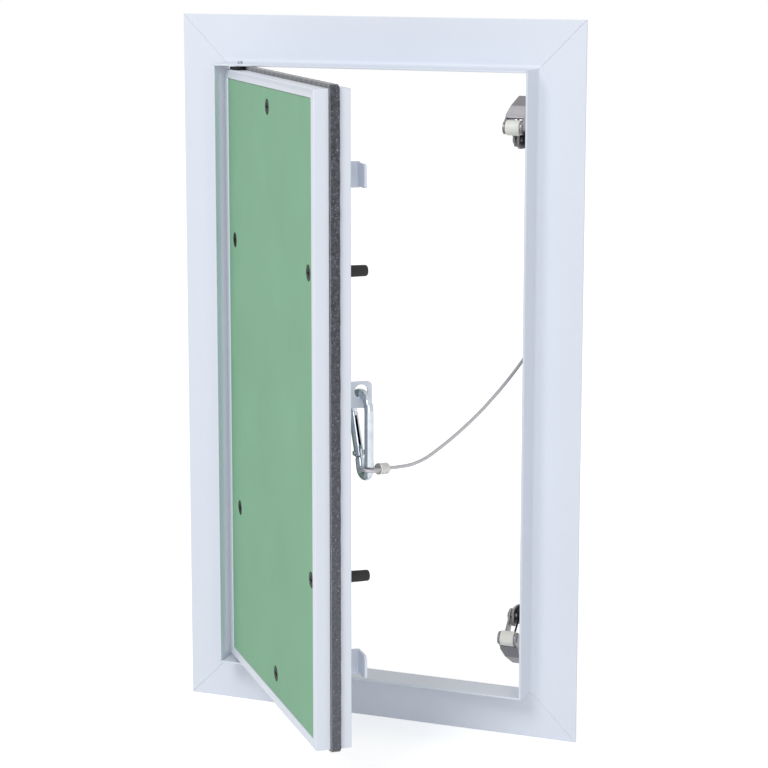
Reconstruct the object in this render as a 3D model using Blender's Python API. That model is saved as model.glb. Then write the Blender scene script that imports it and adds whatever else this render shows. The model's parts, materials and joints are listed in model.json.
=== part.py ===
"""Ceiling access panel: a mitred aluminium frame with a plasterboard leaf standing half open.

The leaf turns on two pins near its left edge.  Two sprung claws with nylon rollers catch the
strike hooks behind its free edge, and a wire cable with a snap hook keeps it from falling.

Lengths are millimetres until a mesh is made.  +X is right, +Y is into the ceiling and +Z runs
along the long side.  The origin is on the front face of the bottom frame flange, at its middle.
Leaf pieces are drawn with the leaf shut and hang under an empty that swings them open.
"""

import math

import bmesh
import bpy
from mathutils import Matrix, Vector
from mathutils.geometry import tessellate_polygon

MM = 0.001
TOUCH = 0.3          # clearance between faces that rest on each other

# Frame
FRAME_W = 250.0
FRAME_H = 420.0
FLANGE = 28.0        # width of the flange that lies behind the ceiling board
FLANGE_WALL = 1.4
LIP_WALL = 1.2       # lip that shows as a thin line round the opening
LIP_DEPTH = 18.8     # how far the lip stands forward of the flange
MITRE_SHIFT = 0.22   # half of the mitre gap, along the member
EDGE_CHAMFER = 0.4
LIP_FILLET = 0.8

# Channel on the back of every frame member, for cleats and slot nuts
CHANNEL_U = 13.4     # from the outer edge to the channel's inside
CHANNEL_W = 11.6
CHANNEL_DEPTH = 2.0
CHANNEL_RIB = 1.2
CHANNEL_HOOK = 1.4   # how far each hooked edge reaches over the channel
HOOK_WALL = 0.9
CLEAT_LEG = 32.0
CLEAT_WALL = 1.4

# Leaf
LEAF_SIDE_GAP = 2.9
LEAF_END_GAP = 2.3
LEAF_DEPTH = 20.4
OPEN_ANGLE = math.radians(50.1)
PIVOT_INSET = 10.6   # from the leaf's left edge
PIVOT_DEPTH = 6.6    # behind the leaf's front face
LEAF_RIM = 5.1       # width of the white rim round the board
BACK_RIM = 4.9       # its part behind the back flange
LEAF_WALL = 1.2
LEAF_FLANGE = 26.0   # the back flange's inner edge, from the leaf's edge
LEAF_FLANGE_WALL = 1.4
GROOVE_FRONT = 8.4   # seal groove, behind the front face
GROOVE_WIDTH = 5.8
GROOVE_DEPTH = 3.3
SEAL_PROUD = 2.0
BOARD_RECESS = 0.6
BOARD_THICK = 12.5
KEY_LEG = 24.0

# Board screws and their rubber caps
SCREW_D = 3.5
SCREW_LENGTH = 30.0
SCREW_HEAD_D = 8.0
SCREW_HEAD_DEPTH = 3.2
HEAD_RIM = 0.5
BUGLE_DEPTH = 1.5    # where the head's hollow flank is a third narrower
SCREW_SINK = 1.0     # head below the front of the leaf
CRATER_D = 9.8
DRIVE_D = 3.2
DRIVE_DEPTH = 1.6
CAP_D = 6.5
CAP_LENGTH = 18.6
TIP_LENGTH = 5.0
CAP_FLANGE = 0.5     # the cap's foot stands out by this
CAP_FLANGE_WALL = 0.8
CAP_DRAFT = 0.2
CAP_ROUND = 0.9
# Each screw: the leaf edge it lies along, how far in from it, and how far along from its middle
SCREWS = {
    "top": ("top", 16.0, -2.3),
    "upper_left": ("left", 16.1, 79.1),
    "upper_right": ("right", 14.1, 80.8),
    "lower_left": ("left", 21.9, -81.8),
    "lower_right": ("right", 11.2, -85.8),
    "bottom": ("bottom", 17.5, 8.2),
}

# Hinge pins
PIN_D = 2.8
PIN_REACH = 4.2      # into the leaf's rim
PIN_PROUD = 1.5      # past the lip
PIVOT_PLATE_W = 15.0
PIVOT_PLATE_D = 6.6
PIVOT_PLATE = 1.2
PIVOT_CORNER = 2.0

# Strike hooks
HOOK_U = 20.0        # outer face of the hook's leg, from the leaf's free edge
HOOK_LIP_U = 8.3     # free end of the hook's lip
HOOK_REACH = 31.8    # back face of the lip, behind the leaf's front
HOOK_W = 14.0
HOOK_LIP_W = 12.6
HOOK_CORNER = 3.0
SHEET = 1.4
BEND = 1.0           # inner radius of every fold
HOOK_IN = 16.7       # middle of the hook, nearer the frame's middle than the open roller
FOOT_END_U = 25.7
RIVET_R = 1.7
RIVET_RISE = 1.0
RIVET_DOME = (0.8, 0.65)   # shares of its rise and radius where the dome's flank breaks

# Latches; out is measured both ways from the line midway between them
LATCH_DROP = 2.7     # that line lies below the frame's middle
ROLLER_END = 59.1    # open roller, in from where that line has half the frame's height
ROLLER_INSET = 44.6  # roller's middle, in from the frame's right edge
ROLLER_D = 8.8
ROLLER_LENGTH = 8.6
ROLLER_CHAMFER = 0.7
AXLE_D = 2.4
BORE_CLEAR = 0.6
HEAD_LIP = 0.9       # how far the heads of pins and axles stand out
HEAD_RISE = 0.6
HEAD_WALL = 0.4
CHEEK = 1.1
# Claw's side view when shut, forward of the roller's axle and outward of the claw's pin
CLAW_BACK = [(3.6, -1.0), (1.0, 3.6), (-6.0, 5.4)]
WEB_ROOT = (3.0, -3.4)
WEB_BEND = (6.6, 2.6)
WEB_END = 6.4
WEB_TAPER = 5.4      # how far the tail's end has narrowed
THROAT_START = 4.5   # forward of the claw's pin
THROAT_RISE = 0.4
THROAT_CLEAR = 0.5   # past the strike hook's lip
NOSE_IN = 0.5        # the claw's nose is this much smaller than the roller
CLAW_PIVOT_IN = 8.4  # nearer the middle than the open roller
CLAW_PIVOT_Y = 26.4
CLAW_PIN_D = 3.0
CLAW_BOSS_R = 4.2
TAIL_LENGTH = 8.0
WING_IN = 5.5        # folded wing, either side of the claw's pivot
WING_OUT = 6.5
WING_GAP = 1.5       # between the claw and the wing
BASE_IN = 9.5        # bracket's base, either side of the claw's pivot
BASE_OUT = 18.5
BASE_CORNER = 1.5
LATCH_SCREW_OUT = 10.5
SPRING_WIRE = 1.2
SPRING_R = 3.0
SPRING_TURNS = 2.5
SPRING_PITCH = 1.6
SPRING_SEAT = (1.4, 1.0)   # where its long leg bears, as the claw's outline is given
SPRING_LEG = 2.2
SPRING_GAP = 0.5     # from the bracket's wing
SPRING_STEPS = 12    # chords in one turn

# Snap hook on its bracket
HOOKUP_U = 20.0
HOOKUP_DEPTH = 38.2  # back edge of the bracket plate, behind the leaf's front
HOOKUP_EYE_DEPTH = 32.1
HOOKUP_EYE_D = 7.5
HOOKUP_H = 14.1
HOOKUP_DROP = 0.7    # the plate's middle below the snap hook's top wire
WIRE_D = 5.0         # snap hook 50 x 5
SNAP_LENGTH = 50.0
SNAP_TOP_Z = 209.3   # middle of the wire where it hangs in the bracket
SNAP_TOP_R = 9.25
SNAP_LOW_R = 4.75
SNAP_TURN = math.radians(11.0)
GATE_D = 5.3
GATE_PIVOT_E = -2.0
GATE_PIVOT_RISE = 11.6   # above the middle of the lowest wire
GATE_TIP_E = -9.0
GATE_TIP_DROP = 2.85     # below the end of the top bend
GATE_SLOT = 2.6
GATE_SLOT_DEPTH = 6.6
TONGUE = 2.0
TONGUE_LENGTH = 2.9
TANG = 1.6
TANG_R = 3.3
FORK_SLOT = 2.2
GATE_RIVET_D = 1.8
GATE_FOOT = 2.2      # the gate's round end, beyond its rivet
GATE_CHAMFER = 0.9
RIVET_LIP = 0.6
RIVET_PROUD = 0.3
RIVET_HEAD = 0.5

# Cable
CABLE_D = 2.0
EYE_RISE = 4.4       # above the middle of the snap hook's lowest wire
EYE_TILT = math.radians(6.0)
EYE_R = 4.9
EYE_GAP = 35.0       # half of the eye's gap towards the ferrule, in degrees
STRAND_GAP = 0.1     # half of the space between the two strands in the ferrule
FERRULE_D = 6.4
FERRULE_CHAMFER = 0.6
FERRULE_NEAR = 7.0   # from the eye's middle
FERRULE_FAR = 14.0
CABLE_HEADING = math.radians(69.1)
# Hand-chosen points of the cable's sagging run, from the ferrule to the lug
CABLE_ROUTE = [
    (48.58, -106.88, 167.2),
    (50.0, -102.9, 166.8),
    (51.7, -98.6, 166.4),
    (55.9, -88.9, 166.1),
    (60.3, -78.1, 167.9),
    (64.3, -67.7, 171.6),
    (68.5, -56.7, 176.2),
    (72.7, -45.8, 181.5),
    (76.8, -35.0, 187.3),
    (80.0, -26.6, 192.5),
    (83.3, -18.1, 198.3),
    (87.0, -7.8, 205.6),
    (89.4, -1.3, 210.8),
    (91.4, 3.2, 214.9),
    (93.5, 5.7, 218.2),
    (95.99, 6.6, 220.75),
]
CABLE_STEP = 4.0
LUG_Z = 229.0
LUG_TURN = math.radians(40.0)
LUG_D = 9.0
LUG_WALL = 1.2
LUG_NEAR = 6.0
LUG_FAR = 12.5
LUG_NECK_R = 1.7
LUG_NECK_END_R = 1.5
LUG_LAP = 1.0        # how far the neck runs into the ring
LUG_NECK_LAP = 1.5   # and into the barrel
BARREL_D = 3.8
MACHINE_SCREW_D = 3.9
MACHINE_HEAD_D = 7.0
MACHINE_HEAD = 2.2
MACHINE_HEAD_SIDE = 1.2
MACHINE_HEAD_TOP = 0.2     # the crown below the head's top
MACHINE_CROWN = 0.34       # its radius as a share of the head's width
MACHINE_DRIVE_R = (1.6, 1.1)
MACHINE_DRIVE_DEPTH = 1.2
NUT_LENGTH = 13.0

# Places that follow from the sizes
LEFT_X = -FRAME_W / 2
RIGHT_X = FRAME_W / 2
LOW_Z = -FLANGE / 2
HIGH_Z = LOW_Z + FRAME_H
REVEAL = FLANGE + LIP_WALL
LEAF_LEFT = LEFT_X + REVEAL + LEAF_SIDE_GAP
LEAF_RIGHT = RIGHT_X - REVEAL - LEAF_SIDE_GAP
LEAF_LOW = LOW_Z + REVEAL + LEAF_END_GAP
LEAF_HIGH = HIGH_Z - REVEAL - LEAF_END_GAP
LEAF_FRONT = -LIP_DEPTH
PIVOT = Vector((LEAF_LEFT + PIVOT_INSET, LEAF_FRONT + PIVOT_DEPTH, 0.0))
CHANNEL_BACK = FLANGE_WALL + CHANNEL_DEPTH + HOOK_WALL
LEAF_BACK_FLANGE = BOARD_RECESS + BOARD_THICK + TOUCH
LEAF_BACK = LEAF_BACK_FLANGE + LEAF_FLANGE_WALL
SLOT_X = RIGHT_X - CHANNEL_U - CHANNEL_W / 2
LATCH_MID_Z = LOW_Z + FRAME_H / 2 - LATCH_DROP
ROLLER_OUT = FRAME_H / 2 - ROLLER_END
ROLLER_X = RIGHT_X - ROLLER_INSET
CLAW_PIVOT_OUT = ROLLER_OUT - CLAW_PIVOT_IN
HOOK_MID = ROLLER_OUT - HOOK_IN
SNAP_LOW_Z = WIRE_D - SNAP_LENGTH
GATE_PIVOT = (GATE_PIVOT_E, SNAP_LOW_Z + GATE_PIVOT_RISE)
GATE_TIP = (GATE_TIP_E, -SNAP_TOP_R - GATE_TIP_DROP)
GATE_SWEEP = math.dist(GATE_PIVOT, GATE_TIP)


for old in list(bpy.data.objects):
    bpy.data.objects.remove(old, do_unlink=True)


def material(name, colour, roughness, metallic=0.0):
    """A Principled material with one plain colour."""
    made = bpy.data.materials.new(name)
    made.use_nodes = True
    shader = made.node_tree.nodes["Principled BSDF"]
    shader.inputs["Base Color"].default_value = (*colour, 1.0)
    shader.inputs["Roughness"].default_value = roughness
    shader.inputs["Metallic"].default_value = metallic
    made.diffuse_color = (*colour, 1.0)
    return made


POWDER_COAT = material("powder_coat_white", (0.76, 0.79, 0.86), 0.4)
BOARD_PAPER = material("board_paper_green", (0.23, 0.43, 0.30), 0.85)
SEAL_FOAM = material("seal_foam_grey", (0.06, 0.065, 0.075), 0.95)
ALUMINIUM = material("mill_aluminium", (0.72, 0.73, 0.75), 0.4, 1.0)
ZINC = material("zinc_plate", (0.62, 0.66, 0.70), 0.28, 1.0)
STAINLESS = material("stainless_sheet", (0.42, 0.41, 0.40), 0.38, 1.0)
DARK_STEEL = material("phosphated_steel", (0.03, 0.03, 0.035), 0.5, 0.6)
NYLON = material("nylon_off_white", (0.80, 0.79, 0.76), 0.45)
RUBBER = material("rubber_black", (0.012, 0.012, 0.013), 0.7)
STEEL_CABLE = material("steel_cable", (0.45, 0.45, 0.46), 0.4, 0.9)


class Body:
    """An empty on a joint's axis, and the place in the shut drawing that it stands for."""

    def __init__(self, name, anchor, parent=None, turn=0.0):
        self.anchor = Vector(anchor)
        self.empty = bpy.data.objects.new(name, None)
        bpy.context.scene.collection.objects.link(self.empty)
        self.empty.rotation_euler = (0.0, 0.0, turn)
        if parent is None:
            self.empty.location = self.anchor * MM
        else:
            self.empty.parent = parent.empty
            self.empty.location = (self.anchor - parent.anchor) * MM


LEAF = Body("leaf_pivot", PIVOT, turn=-OPEN_ANGLE)


def add(name, shape, finish, body=None, smooth=False):
    """Make an object of a bmesh drawn in millimetres, under a body's empty."""
    bmesh.ops.recalc_face_normals(shape, faces=shape.faces)
    if body is not None:
        bmesh.ops.translate(shape, vec=-body.anchor, verts=shape.verts)
    bmesh.ops.scale(shape, vec=(MM, MM, MM), verts=shape.verts)
    mesh = bpy.data.meshes.new(name)
    shape.to_mesh(mesh)
    shape.free()
    if finish is not None:
        mesh.materials.append(finish)
    if smooth:
        mesh.shade_smooth()
        mesh.set_sharp_from_angle(angle=math.radians(32.0))
    made = bpy.data.objects.new(name, mesh)
    bpy.context.scene.collection.objects.link(made)
    if body is not None:
        made.parent = body.empty
    return made


def guide(name, shape, body=None):
    """A hidden helper solid, used only to cut or to join."""
    made = add(name, shape, None, body)
    made.hide_render = True
    made.display_type = "WIRE"
    return made


def combine(target, operation, *helpers):
    """Cut helpers from a target, or join them to it."""
    for helper in helpers:
        boolean = target.modifiers.new(helper.name, "BOOLEAN")
        boolean.operation = operation
        boolean.solver = "EXACT"
        boolean.object = helper


def plate(outline, low, high, place):
    """Extrude an outline of (a, b) points from c = low to c = high; place maps (a, b, c) to space."""
    shape = bmesh.new()
    face = shape.faces.new([shape.verts.new(place(a, b, low)) for a, b in outline])
    grown = bmesh.ops.extrude_face_region(shape, geom=[face])
    moved = [item for item in grown["geom"] if isinstance(item, bmesh.types.BMVert)]
    bmesh.ops.translate(shape, vec=place(0, 0, high) - place(0, 0, low), verts=moved)
    return shape


def box(low, high):
    """A box between two corners."""
    outline = [(low[0], low[1]), (high[0], low[1]), (high[0], high[1]), (low[0], high[1])]
    return plate(outline, low[2], high[2], lambda a, b, c: Vector((a, b, c)))


def turned(profile, start, direction, steps=24, ring=False):
    """Revolve (distance, radius) points about a line through start; a ring's profile is closed."""
    shape = bmesh.new()
    verts = [shape.verts.new((radius, 0.0, along)) for along, radius in profile]
    edges = [shape.edges.new(pair) for pair in zip(verts, verts[1:])]
    if ring:
        edges.append(shape.edges.new((verts[-1], verts[0])))
    bmesh.ops.spin(shape, geom=verts + edges, cent=(0, 0, 0), axis=(0, 0, 1),
                   angle=2 * math.pi, steps=steps, use_merge=True, use_duplicate=False)
    bmesh.ops.remove_doubles(shape, verts=shape.verts, dist=1e-4)
    turn = Vector((0, 0, 1)).rotation_difference(Vector(direction).normalized())
    bmesh.ops.transform(shape, matrix=Matrix.Translation(start) @ turn.to_matrix().to_4x4(),
                        verts=shape.verts)
    return shape


def drill(radius, spot, direction, back, ahead, steps=16):
    """A round cutter through a point, reaching back and ahead of it."""
    return turned([(-back, 0), (-back, radius), (ahead, radius), (ahead, 0)], spot, direction, steps)


def swept(points, radius, sides=10, closed=False):
    """A round bar along a path, its rings turned as little as they can be."""
    shape = bmesh.new()
    path = [Vector(point) for point in points]
    count = len(path)
    rings = []
    side = None
    for index, point in enumerate(path):
        before = path[(index - 1) % count] if closed or index > 0 else point
        after = path[(index + 1) % count] if closed or index < count - 1 else point
        heading = (after - before).normalized()
        if side is None:
            side = heading.orthogonal().normalized()
        side = (side - heading * side.dot(heading)).normalized()
        across = heading.cross(side)
        ring = []
        for step in range(sides):
            angle = 2 * math.pi * step / sides
            ring.append(shape.verts.new(
                point + (side * math.cos(angle) + across * math.sin(angle)) * radius))
        rings.append(ring)
    pairs = list(zip(rings, rings[1:]))
    if closed:
        pairs.append((rings[-1], rings[0]))
    for near, far in pairs:
        for step in range(sides):
            follow = (step + 1) % sides
            shape.faces.new((near[step], near[follow], far[follow], far[step]))
    if not closed:
        shape.faces.new(rings[0])
        shape.faces.new(rings[-1])
    return shape


def arc(centre, radius, start, end, steps):
    """Points on an arc in a plane; angles in degrees."""
    points = []
    for step in range(steps + 1):
        angle = math.radians(start + (end - start) * step / steps)
        points.append((centre[0] + radius * math.cos(angle), centre[1] + radius * math.sin(angle)))
    return points


def rounded(low, high, radius, steps=4):
    """A rectangle with round corners, anticlockwise."""
    points = []
    corners = (
        ((high[0] - radius, low[1] + radius), -90),
        ((high[0] - radius, high[1] - radius), 0),
        ((low[0] + radius, high[1] - radius), 90),
        ((low[0] + radius, low[1] + radius), 180),
    )
    for centre, start in corners:
        points += arc(centre, radius, start, start + 90, steps)
    return points


def folded(path, thick, bend, steps=4):
    """Outline of a sheet folded along a middle line in a plane, with inner corners of radius bend."""
    middle = bend + thick / 2
    points = [Vector(point) for point in path]
    headings = [(after - before).normalized() for before, after in zip(points, points[1:])]
    normals = [Vector((-heading.y, heading.x)) for heading in headings]
    edges = []
    for side in (1, -1):
        edge = [points[0] + normals[0] * side * thick / 2]
        for index in range(1, len(points) - 1):
            heading, follow = headings[index - 1], headings[index]
            angle = math.atan2(heading.x * follow.y - heading.y * follow.x, heading.dot(follow))
            hand = math.copysign(1.0, angle)
            centre = (points[index] - heading * middle * math.tan(abs(angle) / 2)
                      + normals[index - 1] * hand * middle)
            radius = middle - side * hand * thick / 2
            start = math.degrees(math.atan2(-normals[index - 1].y * hand, -normals[index - 1].x * hand))
            edge += [Vector(spot) for spot in
                     arc(centre, radius, start, start + math.degrees(angle), steps)]
        edge.append(points[-1] + normals[-1] * side * thick / 2)
        edges.append(edge)
    return [tuple(point) for point in edges[0] + edges[1][::-1]]


def mitred(length, outline, place, chambers=()):
    """Carry a profile along a member whose ends are cut at 45 degrees from its outer edge.

    Each profile point is (u, v): u inward from the member's outer edge, v into the ceiling.
    """
    shape = bmesh.new()
    ends = []
    for near in (True, False):
        rings = []
        for loop in (outline, *chambers):
            ring = []
            for u, v in loop:
                along = u + MITRE_SHIFT if near else length - u - MITRE_SHIFT
                ring.append(shape.verts.new(place(along, u, v)))
            rings.append(ring)
        ends.append(rings)
    for near_ring, far_ring in zip(*ends):
        for index in range(len(near_ring)):
            follow = (index + 1) % len(near_ring)
            shape.faces.new((near_ring[index], near_ring[follow], far_ring[follow], far_ring[index]))
    for rings in ends:
        corners = [vert for ring in rings for vert in ring]
        for triple in tessellate_polygon([[vert.co.copy() for vert in ring] for ring in rings]):
            shape.faces.new([corners[index] for index in triple])
    return shape


def ring_places(left, right, low, high, depth):
    """Where the four members of a mitred rectangle lie: name, length, and placing function."""
    width = right - left
    height = high - low
    return (
        ("left", height, lambda s, u, v: Vector((left + u, depth + v, low + s))),
        ("right", height, lambda s, u, v: Vector((right - u, depth + v, low + s))),
        ("bottom", width, lambda s, u, v: Vector((left + s, depth + v, low + u))),
        ("top", width, lambda s, u, v: Vector((left + s, depth + v, high - u))),
    )


# The frame's corners: sign of X and of Z, seen from the middle of the opening
CORNERS = {"top_left": (-1, 1), "top_right": (1, 1), "bottom_left": (-1, -1), "bottom_right": (1, -1)}


def corner_plate(corner, half_w, half_h, mid_z, near, far, leg, depth, thick):
    """An L-shaped plate in one corner; near and far are distances inward from the outer edges."""
    sign_x, sign_z = CORNERS[corner]
    outline = [(near, near), (near + leg, near), (near + leg, far), (far, far), (far, near + leg),
               (near, near + leg)]
    return plate(outline, depth, depth + thick, lambda a, b, c: Vector(
        (sign_x * (half_w - a), c, mid_z + sign_z * (half_h - b))))


def build_frame():
    """Four members with a lip round the opening and a cleat channel behind."""
    rib_out = CHANNEL_U - CHANNEL_RIB
    channel_end = CHANNEL_U + CHANNEL_W
    hook_front = FLANGE_WALL + CHANNEL_DEPTH
    fillet = [(FLANGE + a, b) for a, b in arc((-LIP_FILLET, -LIP_FILLET), LIP_FILLET, 90, 0, 3)]
    outline = [
        (EDGE_CHAMFER, 0.0),
        *fillet,
        (FLANGE, EDGE_CHAMFER - LIP_DEPTH),
        (FLANGE + EDGE_CHAMFER, -LIP_DEPTH),
        (REVEAL - EDGE_CHAMFER, -LIP_DEPTH),
        (REVEAL, EDGE_CHAMFER - LIP_DEPTH),
        (REVEAL, FLANGE_WALL),
        (channel_end + CHANNEL_RIB, FLANGE_WALL),
        (channel_end + CHANNEL_RIB, CHANNEL_BACK),
        (channel_end - CHANNEL_HOOK, CHANNEL_BACK),
        (channel_end - CHANNEL_HOOK, hook_front),
        (channel_end, hook_front),
        (channel_end, FLANGE_WALL),
        (CHANNEL_U, FLANGE_WALL),
        (CHANNEL_U, hook_front),
        (CHANNEL_U + CHANNEL_HOOK, hook_front),
        (CHANNEL_U + CHANNEL_HOOK, CHANNEL_BACK),
        (rib_out, CHANNEL_BACK),
        (rib_out, FLANGE_WALL),
        (0.0, FLANGE_WALL),
        (0.0, EDGE_CHAMFER),
    ]
    pin_hole_r = PIN_D / 2 + TOUCH
    for name, length, place in ring_places(LEFT_X, RIGHT_X, LOW_Z, HIGH_Z, 0.0):
        member = add(f"frame_member_{name}", mitred(length, outline, place), POWDER_COAT)
        if name in ("bottom", "top"):
            edge = LOW_Z + FLANGE if name == "bottom" else HIGH_Z - FLANGE
            cutter = drill(pin_hole_r, (PIVOT.x, PIVOT.y, edge), (0, 0, 1), 4, 4)
            combine(member, "DIFFERENCE", guide(f"pin_drill_{name}", cutter))
    for corner in CORNERS:
        near = CHANNEL_U + TOUCH
        far = channel_end - TOUCH
        shape = corner_plate(corner, FRAME_W / 2, FRAME_H / 2, LOW_Z + FRAME_H / 2, near, far,
                             CLEAT_LEG, FLANGE_WALL + TOUCH, CLEAT_WALL)
        add(f"frame_cleat_{corner}", shape, ALUMINIUM)


def build_hinge_pins():
    """A pin on a dark plate at each end of the leaf; it turns in a hole of the frame's lip."""
    for name, edge, sign in (("bottom", LEAF_LOW, -1), ("top", LEAF_HIGH, 1)):
        back = LEAF_FRONT + GROOVE_FRONT
        outline = rounded((PIVOT.x - PIVOT_PLATE_W / 2, back - PIVOT_PLATE_D),
                          (PIVOT.x + PIVOT_PLATE_W / 2, back), PIVOT_CORNER, 3)
        pad = plate(outline, TOUCH, TOUCH + PIVOT_PLATE,
                    lambda a, b, c, edge=edge, sign=sign: Vector((a, b, edge + sign * c)))
        pin = add(f"hinge_pin_{name}", pad, DARK_STEEL, LEAF)
        radius = PIN_D / 2
        end = LEAF_END_GAP + LIP_WALL + PIN_PROUD
        profile = [(-PIN_REACH, 0), (-PIN_REACH, radius), (end - EDGE_CHAMFER, radius),
                   (end, radius - EDGE_CHAMFER), (end, 0)]
        shank = turned(profile, (PIVOT.x, PIVOT.y, edge), (0, 0, sign), 16)
        combine(pin, "UNION", guide(f"pin_shank_{name}", shank, LEAF))


def build_leaf_rim():
    """Four hollow members with a seal groove and a back flange, and keys in their front chambers."""
    back = LEAF_BACK_FLANGE
    groove_back = GROOVE_FRONT + GROOVE_WIDTH
    outline = [
        (EDGE_CHAMFER, 0.0),
        (LEAF_RIM - EDGE_CHAMFER, 0.0),
        (LEAF_RIM, EDGE_CHAMFER),
        (LEAF_RIM, back),
        (LEAF_FLANGE, back),
        (LEAF_FLANGE, LEAF_BACK),
        (BACK_RIM, LEAF_BACK),
        (BACK_RIM, LEAF_DEPTH - EDGE_CHAMFER),
        (BACK_RIM - EDGE_CHAMFER, LEAF_DEPTH),
        (EDGE_CHAMFER, LEAF_DEPTH),
        (0.0, LEAF_DEPTH - EDGE_CHAMFER),
        (0.0, groove_back),
        (GROOVE_DEPTH, groove_back),
        (GROOVE_DEPTH, GROOVE_FRONT),
        (0.0, GROOVE_FRONT),
        (0.0, EDGE_CHAMFER),
    ]
    inner = LEAF_RIM - LEAF_WALL
    back_inner = BACK_RIM - LEAF_WALL
    front_chamber = [(LEAF_WALL, LEAF_WALL), (inner, LEAF_WALL),
                     (inner, GROOVE_FRONT - LEAF_WALL), (LEAF_WALL, GROOVE_FRONT - LEAF_WALL)]
    back_chamber = [(LEAF_WALL, groove_back + LEAF_WALL), (back_inner, groove_back + LEAF_WALL),
                    (back_inner, LEAF_DEPTH - LEAF_WALL), (LEAF_WALL, LEAF_DEPTH - LEAF_WALL)]
    screw_r = SCREW_D / 2 + TOUCH
    members = {}
    for name, length, place in ring_places(LEAF_LEFT, LEAF_RIGHT, LEAF_LOW, LEAF_HIGH, LEAF_FRONT):
        shape = mitred(length, outline, place, (front_chamber, back_chamber))
        members[name] = add(f"leaf_member_{name}", shape, POWDER_COAT, LEAF)
    for screw, (side, _, _) in SCREWS.items():
        cutter = drill(screw_r, screw_spot(screw, LEAF_FRONT + back), (0, 1, 0), 2, 4, 12)
        combine(members[side], "DIFFERENCE", guide(f"flange_drill_{screw}", cutter, LEAF))
    for name, edge in (("bottom", LEAF_LOW), ("top", LEAF_HIGH)):
        hole_r = PIN_D / 2 + TOUCH
        depth = PIN_REACH + TOUCH
        pin_cut = guide(f"leaf_pin_drill_{name}", drill(
            hole_r, (PIVOT.x, PIVOT.y, edge), (0, 0, 1), depth, depth), LEAF)
        combine(members[name], "DIFFERENCE", pin_cut)
        for corner in CORNERS:
            if not corner.startswith(name):
                continue
            shape = corner_plate(
                corner, (LEAF_RIGHT - LEAF_LEFT) / 2, (LEAF_HIGH - LEAF_LOW) / 2,
                (LEAF_HIGH + LEAF_LOW) / 2, LEAF_WALL + TOUCH, inner - TOUCH, KEY_LEG,
                LEAF_FRONT + LEAF_WALL + TOUCH, GROOVE_FRONT - 2 * LEAF_WALL - 2 * TOUCH)
            key = add(f"leaf_key_{corner}", shape, ALUMINIUM, LEAF)
            if corner.endswith("left"):
                combine(key, "DIFFERENCE", pin_cut)


def screw_spot(name, y):
    """A point on a board screw's axis, with the leaf shut."""
    side, inset, along = SCREWS[name]
    mid_z = (LEAF_LOW + LEAF_HIGH) / 2
    spots = {
        "left": (LEAF_LEFT + inset, y, mid_z + along),
        "right": (LEAF_RIGHT - inset, y, mid_z + along),
        "bottom": (along, y, LEAF_LOW + inset),
        "top": (along, y, LEAF_HIGH - inset),
    }
    return spots[side]


def build_board():
    """The plasterboard with its six drilled craters."""
    edge = LEAF_RIM + TOUCH
    front = LEAF_FRONT + BOARD_RECESS
    board = add("leaf_board", box((LEAF_LEFT + edge, front, LEAF_LOW + edge),
                                  (LEAF_RIGHT - edge, front + BOARD_THICK, LEAF_HIGH - edge)),
                BOARD_PAPER, LEAF)
    crater = SCREW_SINK - BOARD_RECESS
    seat = SCREW_HEAD_DEPTH
    head_r = SCREW_HEAD_D / 2 + TOUCH
    shank_r = SCREW_D / 2 + TOUCH
    for name in SCREWS:
        profile = [(-2, 0), (-2, CRATER_D / 2), (0, CRATER_D / 2), (crater, head_r),
                   (crater + HEAD_RIM + TOUCH, head_r), (crater + seat + TOUCH, shank_r),
                   (BOARD_THICK + 2, shank_r), (BOARD_THICK + 2, 0)]
        cutter = turned(profile, screw_spot(name, front), (0, 1, 0), 20)
        combine(board, "DIFFERENCE", guide(f"board_drill_{name}", cutter, LEAF))


def build_screws():
    """Drywall screws with bugle heads, and the rubber caps pushed over their tips."""
    head = LEAF_FRONT + SCREW_SINK
    shank = SCREW_D / 2
    screw_profile = [(DRIVE_DEPTH, 0), (DRIVE_DEPTH, DRIVE_D * 0.3), (0, DRIVE_D / 2),
                     (0, SCREW_HEAD_D / 2), (HEAD_RIM, SCREW_HEAD_D / 2),
                     (BUGLE_DEPTH, SCREW_HEAD_D * 0.34), (SCREW_HEAD_DEPTH, shank),
                     (SCREW_LENGTH - TIP_LENGTH, shank), (SCREW_LENGTH, 0)]
    base = LEAF_FRONT + LEAF_BACK + TOUCH
    bore_r = shank + TOUCH
    bore_end = head + SCREW_LENGTH + TOUCH - base
    foot_r = CAP_D / 2 + CAP_FLANGE
    top_r = CAP_D / 2 - CAP_DRAFT
    cap_profile = [(bore_end, 0), (bore_end - TIP_LENGTH + 1.0, bore_r), (0, bore_r), (0, foot_r),
                   (CAP_FLANGE_WALL, foot_r), (CAP_FLANGE_WALL + CAP_FLANGE, CAP_D / 2)]
    cap_profile += [(CAP_LENGTH - CAP_ROUND + b, top_r - CAP_ROUND + a) for a, b in
                    arc((0, 0), CAP_ROUND, 0, 75, 3)]
    cap_profile.append((CAP_LENGTH, 0))
    for name in SCREWS:
        add(f"board_screw_{name}", turned(screw_profile, screw_spot(name, head), (0, 1, 0), 20),
            DARK_STEEL, LEAF, True)
        add(f"screw_cap_{name}", turned(cap_profile, screw_spot(name, base), (0, 1, 0), 20),
            RUBBER, LEAF, True)


def rivet_head(mid):
    """A blind rivet's head on a foot."""
    x = LEAF_RIGHT - (HOOK_U + SHEET + FOOT_END_U) / 2
    y = LEAF_FRONT + LEAF_BACK + TOUCH + SHEET
    profile = [(-TOUCH, 0), (-TOUCH, RIVET_R), (TOUCH, RIVET_R),
               (RIVET_RISE * RIVET_DOME[0], RIVET_R * RIVET_DOME[1]), (RIVET_RISE, 0)]
    return turned(profile, (x, y, mid), (0, 1, 0), 14)


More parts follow.
